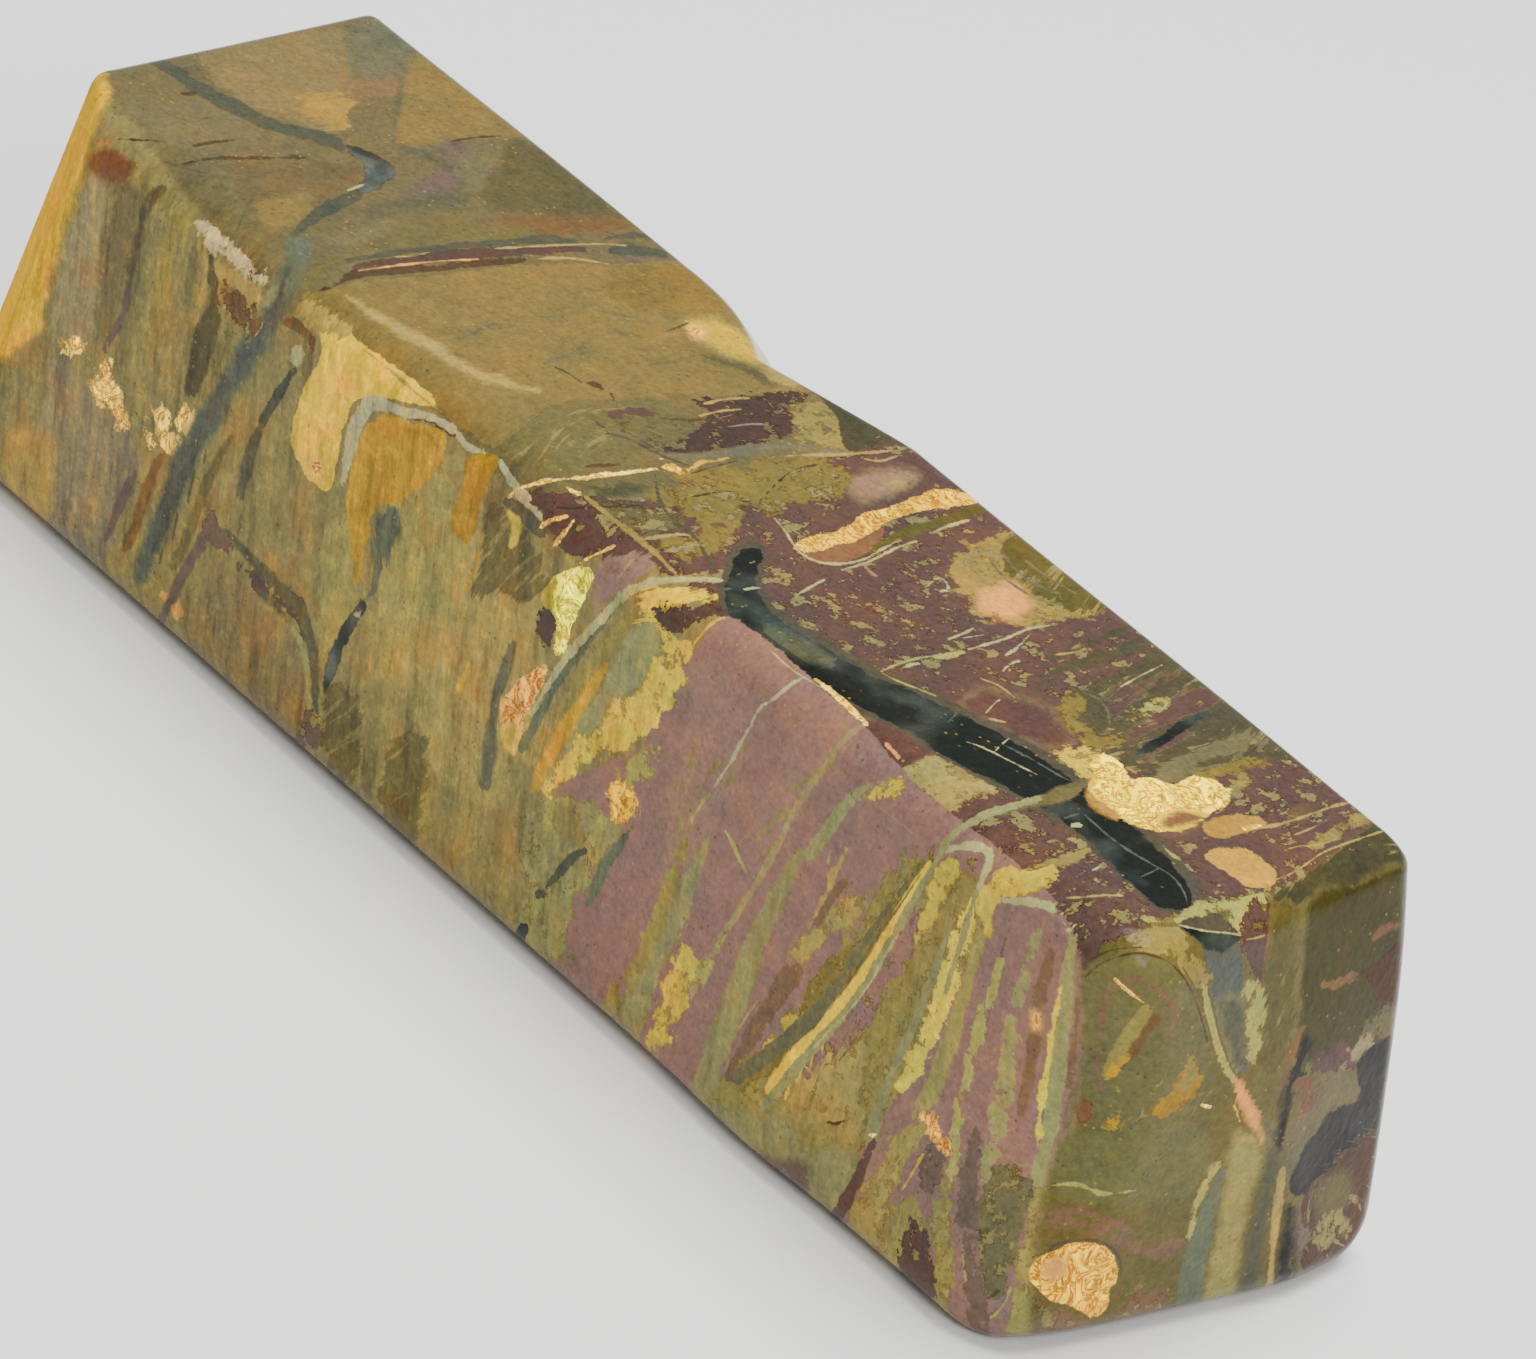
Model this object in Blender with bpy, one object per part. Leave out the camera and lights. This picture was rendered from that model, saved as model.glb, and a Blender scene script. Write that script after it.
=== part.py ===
"""A bar of picture jasper, ground by hand to four long faces and a low four-sided tip, then polished smooth.

It is one solid piece of stone. It lies along X on its flat base, with the tip at +X and its front face at -Y.
Every ground face is a plane. The stone is what lies under all the planes, with each edge rounded over.
"""

import bmesh
import bpy
import numpy as np

# Driving dimensions, in metres.
LENGTH = 0.120
HEIGHT = 0.0321
FRONT_REACH = 0.0157
BACK_REACH = 0.0176
BACK_LEAN = 0.184
TIP_SIDE = 0.0021
TIP_HEIGHT = 0.0175
CORNER_CUT = 0.0092

# How far the grinding wheel rounded each edge over.
RIDGE_RADIUS = 0.0032
TOP_BACK_RADIUS = 0.0023
BASE_FRONT_RADIUS = 0.0032
BASE_BACK_RADIUS = 0.0042
FAR_RIM_RADIUS = 0.0018
TIP_RIM_RADII = {"top": 0.0025, "base": 0.0027, "front": 0.0095, "back": 0.0020}
TIP_CORE_RADIUS = 0.0030
TIP_CORE_SHARE = 0.02
TIP_CREASE_BLEND = 0.0006
CORNER_BLEND = 0.0008

# The chipped hollow in the top back edge, which was polished over. It is steep on its far side.
HOLLOW_X = -0.0088
HOLLOW_DEPTH = 0.0024
HOLLOW_FAR_REACH = 0.0110
HOLLOW_NEAR_REACH = 0.0135
HOLLOW_BLEND = 0.0005

# Polishing by hand left a low swell along the foot of the front face.
SWELL_X = 0.033
SWELL_HEIGHT = 0.0006
SWELL_REACH = 0.007

# The polished faces are also slightly wavy. Each wave: how fast it turns along X, Y and Z, and its start.
WAVE_HEIGHT = 0.00003
WAVE_LENGTH = 0.010
WAVE_FADE = 0.004
WAVES = ((0.9, 1.3, 0.0, 0.0), (1.7, 0.0, -0.8, 1.0), (-0.7, 0.6, 1.1, 0.0))

# Mesh: quads along the length, across the width and up the height, with closer rows near the edges.
ROWS_ALONG = 60
ROWS_ACROSS = 17
ROWS_UP = 16
EDGE_CROWDING = 0.55
CORE_INSET = 0.016
CORE_HEIGHT = HEIGHT / 2
SEARCH_MARGIN = 0.008
BISECTIONS = 34
BASE_TOLERANCE = 1e-7

STONE_COLOUR = (0.30, 0.22, 0.10, 1.0)
STONE_ROUGHNESS = 0.16

# Each ground face: a point on it, and the way it looks.
TIP = (LENGTH / 2, TIP_SIDE, TIP_HEIGHT)
FACES = {
    "top": ((0, 0, HEIGHT), (-0.006, -0.032, 1)),
    "base": ((0, 0, 0), (0, 0, -1)),
    "front": ((0, -FRONT_REACH, HEIGHT / 2), (0.018, -1, 0.023)),
    "back": ((0, BACK_REACH, HEIGHT / 2), (0, 1, BACK_LEAN)),
    "far_end": ((-LENGTH / 2, 0, HEIGHT / 2), (-1, -0.076, 0.120)),
    "far_corner": ((CORNER_CUT - LENGTH / 2, -FRONT_REACH, HEIGHT), (-0.534, -0.846, 0.127)),
    "tip_top": (TIP, (1, 0.164, 0.173)),
    "tip_front": (TIP, (1, -0.044, -0.061)),
    "tip_base": (TIP, (1, -0.014, -0.045)),
    "tip_back": (TIP, (1, 0.216, 0.076)),
}


def over(points, name):
    """How far the points stand out past a ground face; it is negative inside the stone."""
    place, facing = FACES[name]
    facing = np.array(facing, float)
    return (points - np.array(place)) @ (facing / np.linalg.norm(facing))


def rounded(a, b, radius):
    """Two faces that meet at an edge rounded to a radius."""
    corner = np.hypot(np.maximum(a + radius, 0), np.maximum(b + radius, 0))
    return np.minimum(np.maximum(a, b), -radius) + corner


def softened(a, b, blend):
    """Two faces that meet at a shallow crease, blended over a small height."""
    return np.maximum(a, b) + np.maximum(blend - np.abs(a - b), 0) ** 2 / (4 * blend)


def swell(points):
    """The low swell, which fades out along the stone and up from its base."""
    along = (points[:, 0] - SWELL_X) / SWELL_REACH
    up = points[:, 2] / SWELL_REACH
    return SWELL_HEIGHT * np.exp(-(along**2) - up**2)


def tip_rim_radius(points):
    """The rounding between the tip and the long faces, which differs from side to side."""
    across = np.clip(points[:, 1] / BACK_REACH, -1, 1)
    up = np.clip((points[:, 2] - CORE_HEIGHT) / CORE_HEIGHT, -1, 1)
    side = np.where(across < 0, TIP_RIM_RADII["front"], TIP_RIM_RADII["back"])
    level = np.where(up > 0, TIP_RIM_RADII["top"], TIP_RIM_RADII["base"])
    side_share, level_share = across**4, up**4
    total = side_share * side + level_share * level + TIP_CORE_SHARE * TIP_CORE_RADIUS
    return total / (side_share + level_share + TIP_CORE_SHARE)


def hollow(points):
    """The hollow in the top back edge, as a slanting face that dips in and out along X."""
    along = points[:, 0] - HOLLOW_X
    far_side = np.clip(1 + along / HOLLOW_FAR_REACH, 0, 1) ** 2
    near_side = np.clip(1 - along / HOLLOW_NEAR_REACH, 0, 1)
    dip = HOLLOW_DEPTH * np.where(along < 0, far_side, near_side)
    sharp_edge = (BACK_REACH - BACK_LEAN * HEIGHT / 2 + HEIGHT) / np.sqrt(2)
    rounded_edge = sharp_edge - (np.sqrt(2) - 1) * TOP_BACK_RADIUS
    return (points[:, 1] + points[:, 2]) / np.sqrt(2) - (rounded_edge - dip)


def waviness(points):
    """Slow waves over the polished faces, none on the base."""
    waves = sum(np.sin(points @ np.array(turns) / WAVE_LENGTH + start) for *turns, start in WAVES)
    return WAVE_HEIGHT * waves * np.clip(points[:, 2] / WAVE_FADE, 0, 1)


def outside(points):
    """Negative inside the stone, zero on its surface, positive outside."""
    top, base, back = (over(points, name) for name in ("top", "base", "back"))
    front = over(points, "front") - swell(points)
    bar = np.maximum(rounded(top, front, RIDGE_RADIUS), rounded(front, base, BASE_FRONT_RADIUS))
    bar = np.maximum(bar, rounded(base, back, BASE_BACK_RADIUS))
    bar = np.maximum(bar, rounded(back, top, TOP_BACK_RADIUS))
    tip_upper = softened(over(points, "tip_top"), over(points, "tip_front"), TIP_CREASE_BLEND)
    tip_lower = softened(over(points, "tip_base"), over(points, "tip_back"), TIP_CREASE_BLEND)
    tip = softened(tip_upper, tip_lower, TIP_CREASE_BLEND)
    stone = rounded(bar, tip, tip_rim_radius(points))
    stone = rounded(stone, over(points, "far_end"), FAR_RIM_RADIUS)
    stone = softened(stone, over(points, "far_corner"), CORNER_BLEND)
    return softened(stone, hollow(points), HOLLOW_BLEND) + waviness(points)


def box_lattice():
    """A box from -1 to 1 whose sides are split into rows of quads."""
    lattice = bmesh.new()
    bmesh.ops.create_cube(lattice, size=2)
    for axis, rows in enumerate((ROWS_ALONG, ROWS_ACROSS, ROWS_UP)):
        edges = []
        for edge in lattice.edges:
            span = edge.verts[0].co - edge.verts[1].co
            if abs(span[axis]) > 1:
                edges.append(edge)
        bmesh.ops.subdivide_edges(lattice, edges=edges, cuts=rows - 1, use_grid_fill=True)
    return lattice


def onto_surface(box_points):
    """Moves the box's points straight out from the stone's core line until they meet its surface."""
    crowded = EDGE_CROWDING * np.sin(box_points * np.pi / 2) + (1 - EDGE_CROWDING) * box_points
    half_size = np.array((LENGTH / 2, BACK_REACH, CORE_HEIGHT))
    outer = crowded * (half_size + SEARCH_MARGIN) + (0, 0, CORE_HEIGHT)
    core = np.zeros_like(outer)
    core[:, 0] = np.clip(outer[:, 0], CORE_INSET - LENGTH / 2, LENGTH / 2 - CORE_INSET)
    core[:, 2] = CORE_HEIGHT
    low, high = np.zeros(len(outer)), np.ones(len(outer))
    for _ in range(BISECTIONS):
        middle = (low + high) / 2
        inside = outside(core + (outer - core) * middle[:, None]) < 0
        low = np.where(inside, middle, low)
        high = np.where(inside, high, middle)
    surface = core + (outer - core) * low[:, None]
    surface[surface[:, 2] < BASE_TOLERANCE, 2] = 0
    return surface


def polished_jasper():
    """The stone's own material."""
    material = bpy.data.materials.new("picture_jasper")
    material.use_nodes = True
    shader = material.node_tree.nodes["Principled BSDF"]
    shader.inputs["Base Color"].default_value = STONE_COLOUR
    shader.inputs["Roughness"].default_value = STONE_ROUGHNESS
    shader.inputs["Metallic"].default_value = 0
    return material


def jasper_bar():
    """The whole stone, with the middle of its outline at the origin and its base at the level of zero."""
    lattice = box_lattice()
    points = onto_surface(np.array([vertex.co for vertex in lattice.verts]))
    points[:, :2] -= (points[:, :2].max(axis=0) + points[:, :2].min(axis=0)) / 2
    for vertex, place in zip(lattice.verts, points):
        vertex.co = place
    bmesh.ops.recalc_face_normals(lattice, faces=lattice.faces)
    mesh = bpy.data.meshes.new("jasper_bar")
    lattice.to_mesh(mesh)
    lattice.free()
    mesh.shade_smooth()
    mesh.materials.append(polished_jasper())
    stone = bpy.data.objects.new("jasper_bar", mesh)
    bpy.context.scene.collection.objects.link(stone)


for old in list(bpy.data.objects):
    bpy.data.objects.remove(old)
jasper_bar()
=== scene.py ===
import math

import bpy
import numpy as np
from mathutils import Matrix, Vector


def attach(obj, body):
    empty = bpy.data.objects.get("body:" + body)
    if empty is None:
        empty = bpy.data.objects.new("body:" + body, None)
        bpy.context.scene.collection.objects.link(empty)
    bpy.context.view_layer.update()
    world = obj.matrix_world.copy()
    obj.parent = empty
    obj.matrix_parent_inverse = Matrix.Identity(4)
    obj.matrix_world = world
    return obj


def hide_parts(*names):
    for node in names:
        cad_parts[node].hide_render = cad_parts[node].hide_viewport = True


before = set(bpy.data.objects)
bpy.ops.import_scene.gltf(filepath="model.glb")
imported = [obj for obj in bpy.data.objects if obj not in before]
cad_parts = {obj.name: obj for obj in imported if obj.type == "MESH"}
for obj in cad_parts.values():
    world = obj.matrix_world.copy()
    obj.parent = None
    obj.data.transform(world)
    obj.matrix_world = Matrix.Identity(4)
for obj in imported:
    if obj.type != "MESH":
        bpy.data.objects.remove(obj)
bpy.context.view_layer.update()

# The stone.
# One piece of polished picture jasper, a silica stone that iron has coloured ochre, olive and purple-brown.
# It was sawn to a bar, ground on a wheel to four long faces and a low four-sided tip, and then polished.

# Its size and ground faces are those of the CAD solid, in metres.
LENGTH = 0.120
HEIGHT = 0.0321
FRONT_REACH = 0.0157
BACK_REACH = 0.0176
BACK_LEAN = 0.184
CORNER_CUT = 0.0092
TIP = (LENGTH / 2, 0.0021, 0.0175)
RIDGE_RADIUS = 0.0032
TOP_BACK_RADIUS = 0.0023
BASE_FRONT_RADIUS = 0.0032
BASE_BACK_RADIUS = 0.0042
FAR_RIM_RADIUS = 0.0018
TIP_RIM_RADII = {"top": 0.0025, "base": 0.0027, "front": 0.0095, "back": 0.0020}
TIP_CORE_RADIUS = 0.0030
TIP_CORE_SHARE = 0.02
TIP_CREASE_BLEND = 0.0006
CORNER_BLEND = 0.0008
HOLLOW_X = -0.0088
HOLLOW_DEPTH = 0.0024
HOLLOW_FAR_REACH = 0.0110
HOLLOW_NEAR_REACH = 0.0135
HOLLOW_BLEND = 0.0005
SWELL_X = 0.033
SWELL_HEIGHT = 0.0006
SWELL_REACH = 0.007
WAVE_HEIGHT = 0.00003
WAVE_LENGTH = 0.010
WAVE_FADE = 0.004
WAVES = ((0.9, 1.3, 0.0, 0.0), (1.7, 0.0, -0.8, 1.0), (-0.7, 0.6, 1.1, 0.0))
GROUND_FACES = {
    "top": ((0, 0, HEIGHT), (-0.006, -0.032, 1)),
    "base": ((0, 0, 0), (0, 0, -1)),
    "front": ((0, -FRONT_REACH, HEIGHT / 2), (0.018, -1, 0.023)),
    "back": ((0, BACK_REACH, HEIGHT / 2), (0, 1, BACK_LEAN)),
    "far_end": ((-LENGTH / 2, 0, HEIGHT / 2), (-1, -0.076, 0.120)),
    "far_corner": ((CORNER_CUT - LENGTH / 2, -FRONT_REACH, HEIGHT), (-0.534, -0.846, 0.127)),
    "tip_top": (TIP, (1, 0.164, 0.173)),
    "tip_front": (TIP, (1, -0.044, -0.061)),
    "tip_base": (TIP, (1, -0.014, -0.045)),
    "tip_back": (TIP, (1, 0.216, 0.076)),
}


def over(points, name):
    """How far the points stand out past a ground face; it is negative inside the stone."""
    place, facing = GROUND_FACES[name]
    facing = np.array(facing, float)
    return (points - np.array(place)) @ (facing / np.linalg.norm(facing))


def rounded(a, b, radius):
    """Two faces that meet at an edge rounded to a radius."""
    corner = np.hypot(np.maximum(a + radius, 0), np.maximum(b + radius, 0))
    return np.minimum(np.maximum(a, b), -radius) + corner


def softened(a, b, blend):
    """Two faces that meet at a shallow crease, blended over a small height."""
    return np.maximum(a, b) + np.maximum(blend - np.abs(a - b), 0) ** 2 / (4 * blend)


def tip_rim_radius(points):
    """The rounding between the tip and the long faces, which differs from side to side."""
    across = np.clip(points[:, 1] / BACK_REACH, -1, 1)
    up = np.clip(2 * points[:, 2] / HEIGHT - 1, -1, 1)
    side = np.where(across < 0, TIP_RIM_RADII["front"], TIP_RIM_RADII["back"])
    level = np.where(up > 0, TIP_RIM_RADII["top"], TIP_RIM_RADII["base"])
    side_share, level_share = across**4, up**4
    total = side_share * side + level_share * level + TIP_CORE_SHARE * TIP_CORE_RADIUS
    return total / (side_share + level_share + TIP_CORE_SHARE)


def hollow(points):
    """The hollow in the top back edge, a chip that was polished over."""
    along = points[:, 0] - HOLLOW_X
    far_side = np.clip(1 + along / HOLLOW_FAR_REACH, 0, 1) ** 2
    near_side = np.clip(1 - along / HOLLOW_NEAR_REACH, 0, 1)
    dip = HOLLOW_DEPTH * np.where(along < 0, far_side, near_side)
    sharp_edge = (BACK_REACH - BACK_LEAN * HEIGHT / 2 + HEIGHT) / np.sqrt(2)
    rounded_edge = sharp_edge - (np.sqrt(2) - 1) * TOP_BACK_RADIUS
    return (points[:, 1] + points[:, 2]) / np.sqrt(2) - (rounded_edge - dip)


def outside(points):
    """Negative inside the stone, zero on its surface, positive outside."""
    x, z = points[:, 0], points[:, 2]
    top, base, back = (over(points, name) for name in ("top", "base", "back"))
    swell = SWELL_HEIGHT * np.exp(-(((x - SWELL_X) / SWELL_REACH) ** 2) - (z / SWELL_REACH) ** 2)
    front = over(points, "front") - swell
    bar = np.maximum(rounded(top, front, RIDGE_RADIUS), rounded(front, base, BASE_FRONT_RADIUS))
    bar = np.maximum(bar, rounded(base, back, BASE_BACK_RADIUS))
    bar = np.maximum(bar, rounded(back, top, TOP_BACK_RADIUS))
    tip_upper = softened(over(points, "tip_top"), over(points, "tip_front"), TIP_CREASE_BLEND)
    tip_lower = softened(over(points, "tip_base"), over(points, "tip_back"), TIP_CREASE_BLEND)
    stone = rounded(bar, softened(tip_upper, tip_lower, TIP_CREASE_BLEND), tip_rim_radius(points))
    stone = rounded(stone, over(points, "far_end"), FAR_RIM_RADIUS)
    stone = softened(stone, over(points, "far_corner"), CORNER_BLEND)
    waves = sum(np.sin(points @ np.array(turns) / WAVE_LENGTH + start) for *turns, start in WAVES)
    return softened(stone, hollow(points), HOLLOW_BLEND) + WAVE_HEIGHT * waves * np.clip(z / WAVE_FADE, 0, 1)


# The skin is a fine net of quads. Each point is moved out from a core line until it meets the ground faces.
ROWS = (272, 82, 73)
EDGE_CROWDING = 0.35
CORE_INSET = 0.016
SEARCH_MARGIN = 0.008
BISECTIONS = 34
BASE_TOLERANCE = 1e-7


def box_net(rows):
    """Whole-number places on the sides of a box of rows, and the quads between them, facing out."""
    places, quads, count = [], [], 0
    for axis in range(3):
        u, v = (axis + 1) % 3, (axis + 2) % 3
        for end in (0, rows[axis]):
            i, j = np.meshgrid(np.arange(rows[u] + 1), np.arange(rows[v] + 1), indexing="ij")
            side = np.empty((i.size, 3), int)
            side[:, axis], side[:, u], side[:, v] = end, i.ravel(), j.ravel()
            number = count + np.arange(i.size).reshape(i.shape)
            ring = [number[:-1, :-1], number[1:, :-1], number[1:, 1:], number[:-1, 1:]]
            if end == 0:
                ring.reverse()
            quads.append(np.stack([corner.ravel() for corner in ring], 1))
            places.append(side)
            count += i.size
    places, joined = np.unique(np.concatenate(places), axis=0, return_inverse=True)
    return places, joined.ravel()[np.concatenate(quads)]


def onto_surface(places):
    """The net's places as points on the stone's surface."""
    box = 2 * places / np.array(ROWS) - 1
    crowded = EDGE_CROWDING * np.sin(box * np.pi / 2) + (1 - EDGE_CROWDING) * box
    reach = np.array((LENGTH / 2, BACK_REACH, HEIGHT / 2)) + SEARCH_MARGIN
    outer = crowded * reach + (0, 0, HEIGHT / 2)
    core = np.zeros_like(outer)
    core[:, 0] = np.clip(outer[:, 0], CORE_INSET - LENGTH / 2, LENGTH / 2 - CORE_INSET)
    core[:, 2] = HEIGHT / 2
    low, high = np.zeros(len(outer)), np.ones(len(outer))
    for _ in range(BISECTIONS):
        middle = (low + high) / 2
        inside = outside(core + (outer - core) * middle[:, None]) < 0
        low = np.where(inside, middle, low)
        high = np.where(inside, high, middle)
    surface = core + (outer - core) * low[:, None]
    surface[surface[:, 2] < BASE_TOLERANCE, 2] = 0
    return surface


net_places, net_quads = box_net(ROWS)
skin = onto_surface(net_places)
middle_of_box = (skin[:, :2].max(axis=0) + skin[:, :2].min(axis=0)) / 2
skin_points = skin - np.append(middle_of_box, 0)

mesh = bpy.data.meshes.new("picture_jasper_stone")
mesh.from_pydata(skin_points.tolist(), [], net_quads.tolist())
mesh.shade_smooth()
stone = bpy.data.objects.new("picture_jasper_stone", mesh)
bpy.context.scene.collection.objects.link(stone)

# The markings are placed as they were seen on the photograph, in its pixels, from this fitted viewpoint.
VIEW_AZIMUTH = 0.80939581
VIEW_ELEVATION = 0.50212287
VIEW_ROLL = 0.27463219
VIEW_DISTANCE = 0.60811786
VIEW_SHIFT = (0.00652588, 0.00312495)
AIM_HEIGHT = 0.016
FOCAL_PIXELS = 9000
PICTURE = (1536, 1359)


def camera_axes():
    """The camera's right, down and backward directions."""
    rise, turn = VIEW_ELEVATION, VIEW_AZIMUTH
    backward = np.array((math.cos(rise) * math.cos(turn), -math.cos(rise) * math.sin(turn), math.sin(rise)))
    level_right = np.cross(-backward, (0, 0, 1))
    level_right /= np.linalg.norm(level_right)
    level_down = np.cross(-backward, level_right)
    right = math.cos(VIEW_ROLL) * level_right - math.sin(VIEW_ROLL) * level_down
    down = math.sin(VIEW_ROLL) * level_right + math.cos(VIEW_ROLL) * level_down
    return right, down, backward


right, down, backward = camera_axes()
eye = np.array((0, 0, AIM_HEIGHT)) + right * VIEW_SHIFT[0] + down * VIEW_SHIFT[1] + backward * VIEW_DISTANCE

# The colours of its minerals, as red, green and blue from 0 to 255 in good daylight.
MINERALS = {
    # The two corner colours are ochre and yellow painted brighter, as painted light on the far corner facet.
    "corner ochre": (205, 184, 11), "corner yellow": (205, 177, 8), "facet rust": (81, 43, 11),
    "amber": (179, 150, 56), "blue black": (25, 30, 25), "blue grey": (97, 99, 85),
    "bright gold": (219, 196, 15), "bright yellow": (206, 190, 33), "brown": (89, 68, 42),
    "brown ochre": (150, 133, 81), "brown purple": (99, 74, 60), "cream": (228, 206, 115),
    "cream ochre": (163, 147, 66), "dark brown": (74, 57, 40), "dark purple": (82, 58, 49),
    "dark slate": (51, 56, 49), "deep orange": (169, 139, 23), "drab": (122, 109, 66),
    "drab brown": (129, 118, 71), "drab olive": (100, 93, 54), "dull purple": (123, 100, 82),
    # The three facet colours are olive, slate and rust painted much darker, as painted shade on the tip's
    # right facet.
    "facet olive": (69, 64, 20), "facet slate": (15, 13, 11), "front purple": (153, 122, 106),
    "gold": (232, 214, 11), "green grey": (120, 116, 81), "grey tan": (162, 151, 104),
    "hollow olive": (76, 72, 45), "leaf olive": (143, 126, 53), "lemon": (232, 233, 15),
    "lemon green": (197, 189, 60), "light amber": (191, 163, 58), "light olive": (162, 153, 84),
    "light peach": (199, 168, 91), "light tan": (146, 127, 73), "mauve brown": (152, 140, 101),
    "mottled ochre": (169, 156, 87), "mottled olive": (152, 149, 92), "ochre": (174, 157, 82),
    "olive": (103, 93, 38), "olive brown": (88, 80, 52), "olive drab": (152, 142, 82),
    "olive green": (120, 115, 64), "olive grey": (103, 99, 67), "olive shade": (122, 116, 74),
    "olive shadow": (122, 112, 60), "olive tan": (119, 108, 60), "orange": (184, 158, 25),
    "pale blue grey": (179, 175, 140), "pale ochre": (164, 143, 61), "pale olive": (171, 168, 90),
    "pale sage": (177, 175, 128), "pale tan": (173, 159, 89), "pale yellow": (191, 173, 42),
    "peach": (218, 189, 94), "peach gold": (224, 198, 31), "pink": (165, 132, 100),
    "pink tan": (144, 119, 72), "purple": (104, 74, 63), "purple red": (94, 69, 56),
    "red purple": (104, 69, 57), "rose purple": (159, 128, 111), "rust": (135, 90, 53),
    "rust ochre": (143, 120, 50), "rust pink": (145, 101, 64), "rust purple": (133, 104, 72),
    "rust tan": (127, 95, 51), "sage": (157, 155, 100), "sage olive": (153, 149, 95),
    # The pale colour first on the next line is no mineral but the colour of painted highlights on the ridge.
    "scuff": (194, 182, 146), "slate": (88, 89, 65), "slate green": (111, 119, 89),
    "slate olive": (85, 84, 50), "tan": (144, 124, 59), "tan brown": (121, 103, 60),
    "tip olive": (117, 104, 47), "tip olive light": (121, 118, 63), "vein green": (43, 47, 32),
    "vein halo": (88, 80, 60), "yellow": (191, 178, 58), "yellow green": (199, 188, 52),
    "yellow olive": (156, 146, 70),
}

# How the edge of a marking looks: how far it wanders, how soft it is, and how far it is drawn out along
# the banding, in pixels of the photograph.
EDGES = {
    "clean": (3.2, 0.9, 1), "soft": (5, 7, 0), "torn": (11, 1.2, 4), "smear": (3, 2, 10),
    "thread": (2.6, 0.8, 0),
}

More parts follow.
